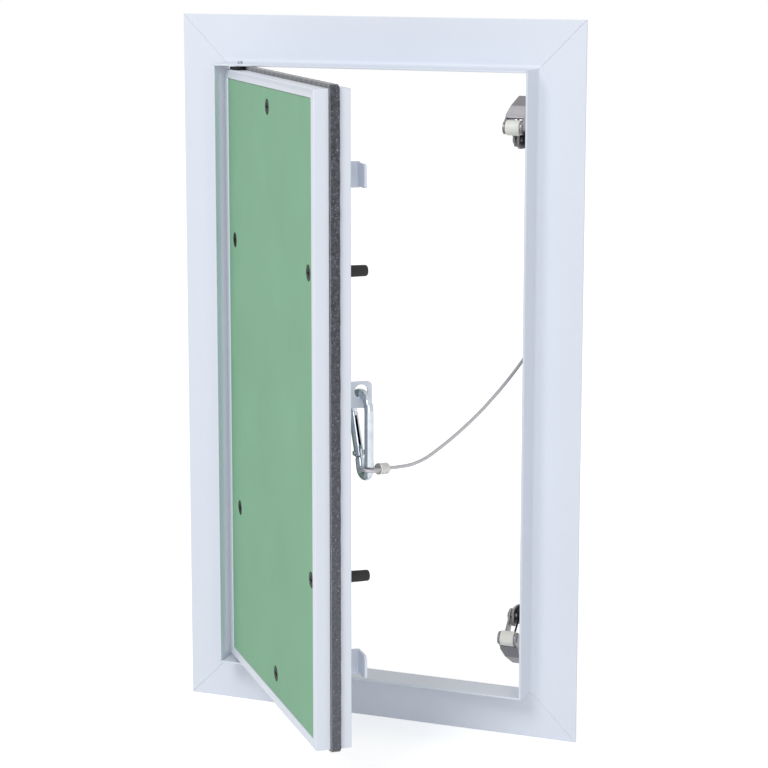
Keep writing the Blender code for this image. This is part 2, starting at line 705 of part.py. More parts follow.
def build_strike_hooks():
    """Two folded hooks riveted behind the leaf's free edge."""
    foot_y = LEAF_FRONT + LEAF_BACK + TOUCH + SHEET / 2
    leg_x = LEAF_RIGHT - HOOK_U - SHEET / 2
    lip_y = LEAF_FRONT + HOOK_REACH - SHEET / 2
    foot_end = LEAF_RIGHT - FOOT_END_U
    lip_end = LEAF_RIGHT - HOOK_LIP_U
    sheet = folded([(foot_end, foot_y), (leg_x, foot_y), (leg_x, lip_y), (lip_end, lip_y)], SHEET, BEND)
    half = HOOK_W / 2
    lip_half = HOOK_LIP_W / 2
    for name, sign in (("upper", 1), ("lower", -1)):
        mid = LATCH_MID_Z + sign * HOOK_MID
        hook = add(f"strike_hook_{name}", plate(
            sheet, mid - half, mid + half, lambda a, b, c: Vector((a, b, c))), POWDER_COAT, LEAF, True)
        neck = leg_x + SHEET / 2
        front = [(foot_end - 1, mid - half - 1), (neck, mid - half - 1), (neck, mid - lip_half),
                 (lip_end - BEND, mid - lip_half), (lip_end, mid - lip_half + BEND),
                 (lip_end, mid + lip_half - HOOK_CORNER), (lip_end - HOOK_CORNER, mid + lip_half),
                 (neck, mid + lip_half), (neck, mid + half + 1), (foot_end - 1, mid + half + 1)]
        blank = plate(front, foot_y - 5, lip_y + 5, lambda a, b, c: Vector((a, c, b)))
        combine(hook, "INTERSECT", guide(f"hook_blank_{name}", blank, LEAF))
        combine(hook, "UNION", guide(f"hook_rivet_{name}", rivet_head(mid), LEAF))


def build_hookup_bracket():
    """The plate that the snap hook hangs in."""
    mid = SNAP_TOP_Z - HOOKUP_DROP
    half = HOOKUP_H / 2
    foot_y = LEAF_FRONT + LEAF_BACK + TOUCH + SHEET / 2
    leg_x = LEAF_RIGHT - HOOKUP_U - SHEET / 2
    back = LEAF_FRONT + HOOKUP_DEPTH
    sheet = folded([(LEAF_RIGHT - FOOT_END_U, foot_y), (leg_x, foot_y), (leg_x, back)], SHEET, BEND)
    bracket = add("hookup_bracket", plate(
        sheet, mid - half, mid + half, lambda a, b, c: Vector((a, b, c))), POWDER_COAT, LEAF, True)
    corner = HOOK_CORNER
    side = [(foot_y - 5, mid - half - 1), (back - corner - 2, mid - half - 1)]
    side += [(back - corner - 2, mid - half)]
    side += arc((back - corner, mid - half + corner), corner, -90, 0, 5)
    side += arc((back - corner, mid + half - corner), corner, 0, 90, 5)
    side += [(back - corner - 2, mid + half), (back - corner - 2, mid + half + 1),
             (foot_y - 5, mid + half + 1)]
    blank = plate(side, leg_x - 20, leg_x + 20, lambda a, b, c: Vector((c, a, b)))
    eye_r = HOOKUP_EYE_D / 2
    spot = (leg_x, LEAF_FRONT + HOOKUP_EYE_DEPTH, SNAP_TOP_Z + eye_r - WIRE_D / 2 - TOUCH)
    hole = drill(eye_r, spot, (1, 0, 0), 3, 3, 24)
    combine(bracket, "INTERSECT", guide("hookup_blank", blank, LEAF))
    combine(bracket, "DIFFERENCE", guide("hookup_eye", hole, LEAF))
    combine(bracket, "UNION", guide("hookup_rivet", rivet_head(mid), LEAF))


SNAP_ANCHOR = Vector((LEAF_RIGHT - HOOKUP_U - SHEET / 2, LEAF_FRONT + HOOKUP_EYE_DEPTH, SNAP_TOP_Z))


def snap(e, z, m=0.0):
    """A point of the snap hook: e across it, z up from its top wire, m out of its plane."""
    cos, sin = math.cos(SNAP_TURN), math.sin(SNAP_TURN)
    return SNAP_ANCHOR + Vector((e * cos - m * sin, e * sin + m * cos, z))


SNAP = Body("snap_hook_pivot", SNAP_ANCHOR, LEAF)
GATE = Body("snap_gate_pivot", snap(*GATE_PIVOT), SNAP)
M_AXIS = Vector((-math.sin(SNAP_TURN), math.cos(SNAP_TURN), 0.0))


def snap_box(e_range, z_range, m_range):
    """A box in the snap hook's own directions."""
    outline = [(e_range[0], z_range[0]), (e_range[1], z_range[0]),
               (e_range[1], z_range[1]), (e_range[0], z_range[1])]
    return plate(outline, m_range[0], m_range[1], lambda a, b, c: snap(a, b, c))


def build_snap_hook():
    """Bent wire body, with a tongue at the nose and a flat tang at the gate's rivet."""
    low_centre = (SNAP_TOP_R - SNAP_LOW_R, SNAP_LOW_Z + SNAP_LOW_R)
    nose_z = GATE_TIP[1] + TOUCH - TONGUE_LENGTH
    path = [(-SNAP_TOP_R, nose_z), (-SNAP_TOP_R, nose_z + 3.0)]
    path += arc((0.0, -SNAP_TOP_R), SNAP_TOP_R, 180, 0, 14)
    path += arc(low_centre, SNAP_LOW_R, 0, -180, 12)
    pivot = Vector(GATE_PIVOT)
    last = Vector(path[-1])
    rise = (pivot - last).normalized()
    path += [tuple(pivot - rise * (TANG_R + 0.6)), tuple(pivot + rise * 2.0)]
    body = add("snap_hook", swept([snap(*point) for point in path], WIRE_D / 2, 12), ZINC, SNAP, True)
    wide = WIRE_D
    clear_r = GATE_SWEEP + TOUCH
    tongue_bottom = clear_r - 2 * TONGUE_LENGTH
    nose_side = guide("nose_side", snap_box((-SNAP_TOP_R - wide, -SNAP_TOP_R + wide),
                                            (nose_z - 1.0, 0.0), (-2 * wide, 2 * wide)), SNAP)
    for name, sign in (("front", -1), ("back", 1)):
        nose = guide(f"nose_cut_{name}", turned(
            [(TONGUE / 2, tongue_bottom), (TONGUE / 2, clear_r), (wide, clear_r),
             (wide, tongue_bottom)], snap(*GATE_PIVOT), M_AXIS * sign, 96, ring=True), SNAP)
        combine(nose, "INTERSECT", nose_side)
        combine(body, "DIFFERENCE", nose)
        start = snap(*GATE_PIVOT, m=sign * TANG / 2)
        tang = turned([(0, 0), (0, TANG_R), (wide, TANG_R), (wide, 0)], start, M_AXIS * sign, 20)
        combine(body, "DIFFERENCE", guide(f"tang_cut_{name}", tang, SNAP))
    inner = snap_box((-SNAP_TOP_R + 1.0, -SNAP_TOP_R + wide), (nose_z - 2, GATE_TIP[1] + 2 * TOUCH),
                     (-wide / 2, wide / 2))
    hole = drill(GATE_RIVET_D / 2 + TOUCH, snap(*GATE_PIVOT), M_AXIS, wide, wide, 14)
    combine(body, "DIFFERENCE", guide("nose_cut_inner", inner, SNAP),
            guide("tang_hole", hole, SNAP))


def build_gate():
    """Round gate bar: a slot for the nose's tongue at its tip and a fork at its rivet."""
    pivot, tip = Vector(GATE_PIVOT), Vector(GATE_TIP)
    along = (tip - pivot).normalized()
    foot = pivot - along * GATE_FOOT
    radius = GATE_D / 2
    length = (tip - foot).length + 2 * radius
    heading = snap(*tip) - snap(*foot)
    profile = [(0, 0), (0, radius - GATE_CHAMFER), (GATE_CHAMFER, radius), (length, radius),
               (length, 0)]
    gate = add("snap_gate", turned(profile, snap(*foot), heading, 20), ZINC, GATE, True)
    wide = 2 * radius
    sweep = drill(GATE_SWEEP, snap(*GATE_PIVOT), M_AXIS, wide, wide, 96)
    tip_slot = snap_box((tip.x - wide, tip.x + radius - 1.2), (tip.y - GATE_SLOT_DEPTH, tip.y + 2),
                        (-GATE_SLOT / 2, GATE_SLOT / 2))
    fork = drill(TANG_R + 1.0, snap(*GATE_PIVOT), M_AXIS, FORK_SLOT / 2, FORK_SLOT / 2, 20)
    hole = drill(GATE_RIVET_D / 2 + TOUCH, snap(*GATE_PIVOT), M_AXIS, wide, wide, 14)
    combine(gate, "INTERSECT", guide("gate_sweep", sweep, GATE))
    combine(gate, "DIFFERENCE", guide("gate_tip_slot", tip_slot, GATE),
            guide("gate_fork", fork, GATE), guide("gate_hole", hole, GATE))
    reach = radius + TOUCH
    head_r = GATE_RIVET_D / 2 + RIVET_LIP
    shank_r = GATE_RIVET_D / 2
    edge, top = reach + RIVET_PROUD, reach + RIVET_HEAD
    profile = [(-top, 0), (-edge, head_r), (-reach, head_r), (-reach, shank_r),
               (reach, shank_r), (reach, head_r), (edge, head_r), (top, 0)]
    add("snap_gate_rivet", turned(profile, snap(*GATE_PIVOT), M_AXIS, 14), ZINC, SNAP, True)


def claw_point(out, y, sign):
    """A point of a latch's side view, at X = 0."""
    return Vector((0.0, y, LATCH_MID_Z + sign * out))


def build_latch(name, sign):
    """Fixed bracket, sprung claw with its pin, spring, axle and roller, and the bracket's fixing."""
    y_roller = LEAF_FRONT + HOOK_REACH - SHEET - TOUCH - ROLLER_D / 2
    claw = Body(f"claw_pivot_{name}", claw_point(CLAW_PIVOT_OUT, CLAW_PIVOT_Y, sign))
    wheel = Body(f"roller_pivot_{name}", claw_point(ROLLER_OUT, y_roller, sign), claw)

    def side(a, b, c):
        """Side view: a outward, b into the ceiling, c along X."""
        return Vector((c, b, LATCH_MID_Z + sign * a))

    left = ROLLER_X - ROLLER_LENGTH / 2 - TOUCH
    right = ROLLER_X + ROLLER_LENGTH / 2 + TOUCH
    pivot = (CLAW_PIVOT_OUT, CLAW_PIVOT_Y)
    half_swing = math.atan((ROLLER_OUT - CLAW_PIVOT_OUT) / (CLAW_PIVOT_Y - y_roller))

    def from_shut(forward, outward):
        """A point given with the claw shut, turned to where it stands open."""
        cos, sin = math.cos(2 * half_swing), math.sin(2 * half_swing)
        return (pivot[0] + outward * cos + forward * sin, pivot[1] - forward * cos + outward * sin)

    arm = CLAW_PIVOT_Y - y_roller
    drop = ROLLER_OUT - CLAW_PIVOT_OUT
    nose_r = ROLLER_D / 2 - NOSE_IN
    throat = HOOK_MID + HOOK_LIP_W / 2 - CLAW_PIVOT_OUT + THROAT_CLEAR
    cheek = [from_shut(a, b) for a, b in (
        *arc((0.0, 0.0), CLAW_BOSS_R, 100, 250, 8),
        (THROAT_START, throat - THROAT_RISE),
        (arm - ROLLER_D / 2, throat),
        *[(arm + a, b - drop) for a, b in arc((0.0, 0.0), nose_r, 180, 400, 12)],
        *[(arm + a, b) for a, b in CLAW_BACK],
    )]
    claw_obj = add(f"latch_claw_{name}", plate(cheek, left - CHEEK, left, side), STAINLESS, claw)
    far_cheek = guide(f"claw_cheek_{name}", plate(cheek, right, right + CHEEK, side), claw)
    root = from_shut(arm + WEB_ROOT[0], WEB_ROOT[1])
    bend = from_shut(arm + WEB_BEND[0], WEB_BEND[1])
    end = from_shut(arm + WEB_END, WEB_BEND[1] + TAIL_LENGTH)
    web = [root, bend, end]
    web += [(a - CHEEK * 0.75, b + CHEEK * 0.75) for a, b in reversed(web)]
    web_obj = guide(f"claw_web_{name}", plate(web, left - CHEEK, right + CHEEK, side), claw)
    taper = [(root[0] + 2.0, left - CHEEK - 1.0), (end[0] + 2.0, left - CHEEK - 1.0),
             (end[0] + 2.0, left + WEB_TAPER), (root[0] + 2.0, left - CHEEK)]
    taper_obj = guide(f"claw_taper_{name}", plate(
        taper, -30.0, 60.0, lambda a, b, c: Vector((b, c, LATCH_MID_Z + sign * a))), claw)
    combine(claw_obj, "UNION", far_cheek, web_obj)
    combine(claw_obj, "DIFFERENCE", taper_obj)
    holes = ((pivot, CLAW_PIN_D, "pin"), ((ROLLER_OUT, y_roller), AXLE_D, "axle"))
    for (out, y), size, kind in holes:
        cutter = drill(size / 2 + TOUCH, side(out, y, ROLLER_X), (1, 0, 0), 20, 20)
        combine(claw_obj, "DIFFERENCE", guide(f"claw_{kind}_hole_{name}", cutter, claw))

    spot = side(ROLLER_OUT, y_roller, ROLLER_X)
    half = ROLLER_LENGTH / 2
    radius = ROLLER_D / 2
    bore = (AXLE_D + BORE_CLEAR) / 2
    rim = radius - ROLLER_CHAMFER
    flat = half - ROLLER_CHAMFER
    profile = [(-half, bore), (-half, rim), (-flat, radius), (flat, radius), (half, rim),
               (half, bore)]
    add(f"latch_roller_{name}", turned(profile, spot, (1, 0, 0), 28, ring=True), NYLON, wheel, True)
    shank = AXLE_D / 2
    reach = half + TOUCH + CHEEK + TOUCH
    head = shank + HEAD_LIP
    edge, top = reach + HEAD_WALL, reach + HEAD_RISE
    profile = [(-top, 0), (-edge, head), (-reach, head), (-reach, shank),
               (reach, shank), (reach, head), (edge, head), (top, 0)]
    add(f"latch_axle_{name}", turned(profile, spot, (1, 0, 0), 16), STAINLESS, claw, True)

    ear_x = right + CHEEK + WING_GAP
    inner_ear = left + SHEET
    back = CLAW_PIVOT_Y + CLAW_BOSS_R + BEND
    base_y = CHANNEL_BACK + TOUCH
    base_end = RIGHT_X - CHANNEL_U + CHANNEL_RIB
    half = SHEET / 2
    sheet = folded([(base_end, base_y + half), (ear_x + half, base_y + half),
                    (ear_x + half, back + half), (inner_ear + half, back + half),
                    (inner_ear + half, CLAW_PIVOT_Y - CLAW_BOSS_R)], SHEET, BEND)
    low, high = pivot[0] - BASE_IN, pivot[0] + BASE_OUT
    bracket = add(f"latch_bracket_{name}", plate(
        sheet, low, high, lambda a, b, c: Vector((a, b, LATCH_MID_Z + sign * c))), STAINLESS, None, True)
    wing_low, wing_high = pivot[0] - WING_IN, pivot[0] + WING_OUT
    neck = ear_x + SHEET + BEND
    blank = [(inner_ear - 5, wing_low), (neck, wing_low), (neck, low)]
    blank += arc((base_end - BASE_CORNER, low + BASE_CORNER), BASE_CORNER, -90, 0, 3)
    blank += arc((base_end - BASE_CORNER, high - BASE_CORNER), BASE_CORNER, 0, 90, 3)
    blank += [(neck, high), (neck, wing_high), (inner_ear - 5, wing_high)]
    front = guide(f"bracket_blank_{name}", plate(
        blank, base_y - 5, back + 5, lambda a, b, c: Vector((a, c, LATCH_MID_Z + sign * b))))
    ear_end = arc((pivot[0] + (WING_OUT - WING_IN) / 2, CLAW_PIVOT_Y),
                  (WING_OUT + WING_IN) / 2, 180, 360, 10)
    notch = [(wing_low - 5, CLAW_PIVOT_Y), *ear_end, (wing_high + 5, CLAW_PIVOT_Y),
             (wing_high + 5, CLAW_PIVOT_Y - 15), (wing_low - 5, CLAW_PIVOT_Y - 15)]
    ear_cut = guide(f"bracket_ear_cut_{name}", plate(notch, inner_ear - 2, inner_ear + SHEET + 2, side))
    combine(bracket, "INTERSECT", front)
    combine(bracket, "DIFFERENCE", ear_cut)
    pin_r = CLAW_PIN_D / 2
    pin_hole = drill(pin_r + TOUCH, side(*pivot, ROLLER_X), (1, 0, 0), 20, 20)
    screw_z = LATCH_MID_Z + sign * (pivot[0] + LATCH_SCREW_OUT)
    screw_hole = drill(MACHINE_SCREW_D / 2 + TOUCH, (SLOT_X, base_y, screw_z), (0, 1, 0), 9, 9)
    combine(bracket, "DIFFERENCE", guide(f"bracket_pin_hole_{name}", pin_hole),
            guide(f"bracket_screw_hole_{name}", screw_hole))
    pin_left = left - CHEEK - HEAD_LIP
    pin_right = ear_x + SHEET + HEAD_LIP
    pin_profile = [(0, 0), (0, pin_r + HEAD_LIP), (HEAD_RISE, pin_r + HEAD_LIP), (HEAD_RISE, pin_r),
                   (pin_right - pin_left, pin_r), (pin_right - pin_left, 0)]
    add(f"latch_pin_{name}", turned(pin_profile, side(*pivot, pin_left), (1, 0, 0), 16),
        STAINLESS, None, True)
    build_fixing(f"latch_{name}", SLOT_X, screw_z, base_y + SHEET)
    build_spring(name, claw, side, from_shut, inner_ear + SHEET + SPRING_GAP, arm)


def build_spring(name, claw, side, from_shut, start_x, arm):
    """Torsion spring on the claw's pin: one leg along the claw, one towards the bracket."""
    pivot = (CLAW_PIVOT_OUT, CLAW_PIVOT_Y)
    reach = from_shut(arm + SPRING_SEAT[0], SPRING_SEAT[1])
    lean = math.atan2(reach[1] - pivot[1], reach[0] - pivot[0])
    distance = math.hypot(reach[0] - pivot[0], reach[1] - pivot[1])
    tangent = lean + math.acos(SPRING_R / distance)
    coil = []
    first_x = start_x + SPRING_WIRE / 2
    for step in range(int(SPRING_TURNS * SPRING_STEPS) + 1):
        angle = tangent + 2 * math.pi * step / SPRING_STEPS
        coil.append(side(pivot[0] + SPRING_R * math.cos(angle), pivot[1] + SPRING_R * math.sin(angle),
                         first_x + SPRING_PITCH * step / SPRING_STEPS))
    angle = tangent + 2 * math.pi * SPRING_TURNS
    tail = side(pivot[0] + SPRING_R * math.cos(angle) - SPRING_LEG * math.sin(angle),
                pivot[1] + SPRING_R * math.sin(angle) + SPRING_LEG * math.cos(angle),
                first_x + SPRING_PITCH * SPRING_TURNS)
    points = [side(reach[0], reach[1], first_x), *coil, tail]
    add(f"latch_spring_{name}", swept(points, SPRING_WIRE / 2, 8), DARK_STEEL, claw, True)


def build_fixing(name, x, z, seat_y):
    """A pan-head screw and the square slot nut in the channel that it pulls on."""
    half = CHANNEL_W / 2 - TOUCH
    near = FLANGE_WALL + TOUCH
    thick = CHANNEL_DEPTH - 2 * TOUCH
    nut = add(f"{name}_slot_nut", box((x - half, near, z - NUT_LENGTH / 2),
                                     (x + half, near + thick, z + NUT_LENGTH / 2)), ZINC)
    hole = drill(MACHINE_SCREW_D / 2 + TOUCH, (x, near, z), (0, 1, 0), 9, 9)
    combine(nut, "DIFFERENCE", guide(f"{name}_nut_hole", hole))
    head = seat_y + TOUCH
    shank = MACHINE_SCREW_D / 2
    floor = MACHINE_HEAD - MACHINE_DRIVE_DEPTH
    profile = [(near - head, 0), (near - head, shank), (0, shank), (0, MACHINE_HEAD_D / 2),
               (MACHINE_HEAD_SIDE, MACHINE_HEAD_D / 2),
               (MACHINE_HEAD - MACHINE_HEAD_TOP, MACHINE_HEAD_D * MACHINE_CROWN),
               (MACHINE_HEAD, MACHINE_DRIVE_R[0]), (floor, MACHINE_DRIVE_R[1]), (floor, 0)]
    add(f"{name}_screw", turned(profile, (x, head, z), (0, 1, 0), 18), ZINC, None, True)


def smooth_route(points, step):
    """Points a step apart on a smooth curve through the given ones."""
    path = [Vector(point) for point in points]
    fine = []
    for index in range(len(path) - 1):
        before = path[max(index - 1, 0)]
        start, end = path[index], path[index + 1]
        after = path[min(index + 2, len(path) - 1)]
        count = max(1, round((end - start).length / step))
        for part in range(count):
            t = part / count
            fine.append(0.5 * (2 * start + (end - before) * t
                               + (2 * before - 5 * start + 4 * end - after) * t * t
                               + (3 * start - before - 3 * end + after) * t ** 3))
    fine.append(path[-1])
    return fine


def build_cable():
    """The cable's free run, its eye with a pressed ferrule, and the lug on the frame."""
    curve = bpy.data.curves.new("cable", "CURVE")
    curve.dimensions = "3D"
    curve.bevel_depth = CABLE_D / 2 * MM
    curve.bevel_resolution = 2
    curve.use_fill_caps = True
    points = smooth_route(CABLE_ROUTE, CABLE_STEP)
    spline = curve.splines.new("POLY")
    spline.points.add(len(points) - 1)
    for spot, point in zip(spline.points, points):
        spot.co = (*(point * MM), 1.0)
    curve.materials.append(STEEL_CABLE)
    cable = bpy.data.objects.new("cable", curve)
    bpy.context.scene.collection.objects.link(cable)

    heading = CABLE_HEADING + OPEN_ANGLE
    ahead = Vector((math.cos(heading) * math.cos(EYE_TILT), math.sin(heading) * math.cos(EYE_TILT),
                    -math.sin(EYE_TILT)))
    across = Vector((-math.sin(heading), math.cos(heading), 0.0))
    centre = snap(SNAP_TOP_R, SNAP_LOW_Z + EYE_RISE)
    loop = []
    strand = CABLE_D / 2 + STRAND_GAP
    for step in range(21):
        angle = math.radians(EYE_GAP + (360 - 2 * EYE_GAP) * step / 20)
        loop.append(centre + (ahead * math.cos(angle) + across * math.sin(angle)) * EYE_R)
    near = centre + ahead * (FERRULE_NEAR + 1.0)
    points = [near + across * strand, *loop, near - across * strand]
    eye = add("cable_eye", swept(points, CABLE_D / 2, 10), STEEL_CABLE, LEAF, True)
    half = FERRULE_D / 2
    rim = half - FERRULE_CHAMFER
    length = FERRULE_FAR - FERRULE_NEAR
    profile = [(0, 0), (0, rim), (FERRULE_CHAMFER, half), (length - FERRULE_CHAMFER, half),
               (length, rim), (length, 0)]
    ferrule = guide("ferrule_sleeve", turned(profile, centre + ahead * FERRULE_NEAR, ahead, 20), LEAF)
    combine(eye, "UNION", ferrule)

    lug_y = CHANNEL_BACK + TOUCH
    back = Vector((-math.cos(LUG_TURN), 0.0, -math.sin(LUG_TURN)))
    ring_centre = Vector((SLOT_X, lug_y, LUG_Z))
    ring_r = LUG_D / 2
    hole_r = MACHINE_SCREW_D / 2 + TOUCH
    lug = add("cable_lug", turned([(0, hole_r), (0, ring_r), (LUG_WALL, ring_r), (LUG_WALL, hole_r)],
                                  ring_centre, (0, 1, 0), 24, ring=True), ZINC)
    side = Vector((back.z, 0.0, -back.x))
    root, end = ring_r - LUG_LAP, LUG_NEAR + LUG_NECK_LAP
    corners = [ring_centre + back * a + side * b for a, b in
               ((root, -LUG_NECK_R), (end, -LUG_NECK_END_R), (end, LUG_NECK_END_R), (root, LUG_NECK_R))]
    neck = guide("lug_neck", plate([(c.x, c.z) for c in corners], lug_y, lug_y + LUG_WALL,
                                   lambda a, b, c: Vector((a, c, b))))
    barrel_r = BARREL_D / 2
    axis = Vector((SLOT_X, CABLE_ROUTE[-1][1], LUG_Z))
    barrel = guide("lug_barrel", drill(barrel_r, axis + back * LUG_NEAR, back, 0,
                                       LUG_FAR - LUG_NEAR, 18))
    combine(lug, "UNION", neck, barrel)
    build_fixing("cable_lug", SLOT_X, LUG_Z, lug_y + LUG_WALL)


def build_seal():
    """One foam seal, standing in the groove on all four sides."""
    front = LEAF_FRONT + GROOVE_FRONT + TOUCH
    back = LEAF_FRONT + GROOVE_FRONT + GROOVE_WIDTH - TOUCH
    inner = GROOVE_DEPTH - TOUCH
    outline = rounded((LEAF_LEFT - SEAL_PROUD, LEAF_LOW - SEAL_PROUD),
                      (LEAF_RIGHT + SEAL_PROUD, LEAF_HIGH + SEAL_PROUD), 1.5, 3)
    seal = add("leaf_seal", plate(outline, front, back, lambda a, b, c: Vector((a, c, b))),
               SEAL_FOAM, LEAF)
    hollow = box((LEAF_LEFT + inner, front - 2, LEAF_LOW + inner),
                 (LEAF_RIGHT - inner, back + 2, LEAF_HIGH - inner))
    combine(seal, "DIFFERENCE", guide("seal_hollow", hollow, LEAF))


build_frame()
build_hinge_pins()
build_leaf_rim()
build_board()
build_seal()
build_screws()
build_strike_hooks()
build_hookup_bracket()
build_snap_hook()
build_gate()
for latch_name, latch_sign in (("upper", 1), ("lower", -1)):
    build_latch(latch_name, latch_sign)
build_cable()
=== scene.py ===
"""Looks of a ceiling access panel that stands half open.

A mitred frame holds a plasterboard leaf on two pins.  Roller latches catch it when it is shut,
and a cable with a snap hook keeps it from falling.  Lengths are millimetres until a mesh is made.
"""

import json
import math

import bmesh
import bpy
import numpy as np
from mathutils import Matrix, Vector
from mathutils.geometry import tessellate_polygon

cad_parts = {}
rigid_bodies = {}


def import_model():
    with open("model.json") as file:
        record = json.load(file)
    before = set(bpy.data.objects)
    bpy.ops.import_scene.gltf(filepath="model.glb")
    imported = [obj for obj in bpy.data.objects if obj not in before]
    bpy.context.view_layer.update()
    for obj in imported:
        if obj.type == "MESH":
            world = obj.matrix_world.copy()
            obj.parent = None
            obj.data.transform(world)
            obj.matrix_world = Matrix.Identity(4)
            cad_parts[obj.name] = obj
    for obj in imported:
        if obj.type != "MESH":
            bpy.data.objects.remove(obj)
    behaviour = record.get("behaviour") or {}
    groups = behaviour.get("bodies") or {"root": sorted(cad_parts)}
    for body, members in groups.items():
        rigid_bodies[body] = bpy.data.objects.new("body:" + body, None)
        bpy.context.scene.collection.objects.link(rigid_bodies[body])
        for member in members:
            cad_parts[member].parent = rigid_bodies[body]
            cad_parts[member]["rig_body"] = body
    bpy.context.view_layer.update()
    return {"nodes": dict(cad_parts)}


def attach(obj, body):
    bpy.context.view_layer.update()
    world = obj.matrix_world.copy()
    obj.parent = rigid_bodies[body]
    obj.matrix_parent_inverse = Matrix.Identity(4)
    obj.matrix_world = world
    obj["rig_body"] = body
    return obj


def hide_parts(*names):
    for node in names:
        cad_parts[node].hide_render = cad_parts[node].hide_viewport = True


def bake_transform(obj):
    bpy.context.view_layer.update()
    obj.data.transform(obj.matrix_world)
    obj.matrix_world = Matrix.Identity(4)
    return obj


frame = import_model()


# Frame members
# Four aluminium extrusions, cut at 45 degrees and powder coated a cool white.  A flange lies
# behind the ceiling board, a thin lip stands round the opening, and a channel runs along the back.
MM = 0.001
MERGE = 2e-7          # metres: points of a mesh that are closer than this become one
SHARP = 35.0          # degrees: faces that meet at more keep a hard edge
SIDES = ("left", "right", "bottom", "top")
FRAME_BOX = (-125.0, 125.0, -14.0, 406.0)   # its sides, in that order
MITRE_GAP = 0.07      # half of the joint's open line, along the member
LIP_FRONT = -18.8
LIP_IN, LIP_OUT = 28.0, 29.2


def linear(code):
    """sRGB hex in linear light: c / 12.92 up to 0.04045, then ((c + 0.055) / 1.055) ** 2.4."""
    share = np.array([int(code[start:start + 2], 16) for start in (1, 3, 5)]) / 255
    light = np.where(share <= 0.04045, share / 12.92, ((share + 0.055) / 1.055) ** 2.4)
    return (*light.tolist(), 1.0)


def node(tree, kind, inputs=None, **settings):
    """Add one shader node; each input is linked to a socket or a node's first output, or set."""
    made = tree.nodes.new("ShaderNode" + kind)
    for key, value in settings.items():
        setattr(made, key, value)
    for key, value in (inputs or {}).items():
        value = value.outputs[0] if isinstance(value, bpy.types.Node) else value
        if isinstance(value, bpy.types.NodeSocket):
            tree.links.new(value, made.inputs[key])
        else:
            made.inputs[key].default_value = value
    return made


def new_finish(name, colour, roughness, metallic=0.0):
    """A material of one Principled shader, with its tree, shader and Object coordinates."""
    made = bpy.data.materials.new(name)
    made.use_nodes = True
    tree = made.node_tree
    shader = tree.nodes["Principled BSDF"]
    shader.inputs["Base Color"].default_value = linear(colour)
    shader.inputs["Roughness"].default_value = roughness
    shader.inputs["Metallic"].default_value = metallic
    made.diffuse_color = linear(colour)
    spot = node(tree, "TexCoord").outputs["Object"]
    return made, tree, shader, spot


def joined(shader, tint=None, gloss=None, bump=None):
    """Link a finish's colour mix, roughness range and bump to its shader, as far as it has them."""
    for source, result, name in ((tint, 2, "Base Color"), (gloss, 0, "Roughness"),
                                 (bump, 0, "Normal")):
        if source is not None:
            shader.id_data.links.new(source.outputs[result], shader.inputs[name])


# Polyester powder coat, baked on: it levels to a faint orange peel of about a millimetre, with a
# satin gloss that changes a little from place to place.
powder_coat, tree, shader, spot = new_finish("polyester_powder_coat", "#DDE3EE", 0.36)
peel = node(tree, "TexNoise", {"Vector": spot, "Scale": 1 / (1.1 * MM), "Detail": 2.0})
cloud = node(tree, "TexNoise", {"Vector": spot, "Scale": 1 / (60 * MM), "Detail": 1.0})
tint = node(tree, "Mix", {0: cloud, 6: linear("#DBE1EC"), 7: linear("#DFE5F0")}, data_type="RGBA")
gloss = node(tree, "MapRange", {"Value": peel, "To Min": 0.31, "To Max": 0.42})
bump = node(tree, "Bump", {"Height": peel, "Strength": 0.25, "Distance": 0.02 * MM})
joined(shader, tint=tint, gloss=gloss, bump=bump)


def soft_line(corners, radius, steps=4, closed=True):
    """Round the corners of a line: each corner P becomes (1-t)^2 A + 2t(1-t) P + t^2 B.

    A and B lie a radius away along its two sides, but at most 45 % of a side.  One more point
    outside A and B keeps the flat faces beside the curve flat.
    """
    points = np.array(corners, float)
    ways = [np.roll(points, 1, 0) - points, np.roll(points, -1, 0) - points]
    sizes = [np.maximum(np.linalg.norm(way, axis=1), 1e-9) for way in ways]
    cut = np.minimum(np.broadcast_to(radius, len(points)), 0.45 * np.minimum(*sizes))[:, None]
    units = [way / size[:, None] for way, size in zip(ways, sizes)]
    t = np.linspace(0, 1, steps + 1)[None, :, None]
    near, far = (points + unit * cut for unit in units)
    curve = ((1 - t) ** 2 * near[:, None] + 2 * t * (1 - t) * points[:, None]
             + t ** 2 * far[:, None])
    guard = [(points + unit * cut * 1.08)[:, None] for unit in units]
    rows = np.concatenate([guard[0], curve, guard[1]], 1)
    line = rows.reshape(-1, points.shape[1])
    if not closed:
        line = np.concatenate([points[:1], rows[1:-1].reshape(-1, points.shape[1]), points[-1:]])
    step = np.linalg.norm(line - np.roll(line, 1, 0), axis=1)
    return line[(step > 1e-5) | (not closed and np.arange(len(line)) == 0)]


def quads(rows, columns, wrap=True):
    """Faces of a grid of points, row by row; wrap joins the last column to the first."""
    row, column = np.meshgrid(np.arange(rows - 1), np.arange(columns if wrap else columns - 1),
                              indexing="ij")
    follow = (column + 1) % columns
    corners = (row * columns + column, row * columns + follow,
               (row + 1) * columns + follow, (row + 1) * columns + column)
    return np.stack(corners, -1).reshape(-1, 4).tolist()


def flat_fill(loops, starts):
    """Triangles that fill a flat outline with holes; loops are 2-D, starts their first indices."""
    triples = tessellate_polygon([[Vector((*point, 0.0)) for point in loop.tolist()]
                                  for loop in loops])
    place = np.concatenate([start + np.arange(len(loop)) for loop, start in zip(loops, starts)])
    return place[np.array(triples)].tolist()


def placed(name, data):
    """Put a mesh, lamp or camera into the scene."""
    thing = bpy.data.objects.new(name, data)
    bpy.context.scene.collection.objects.link(thing)
    return thing


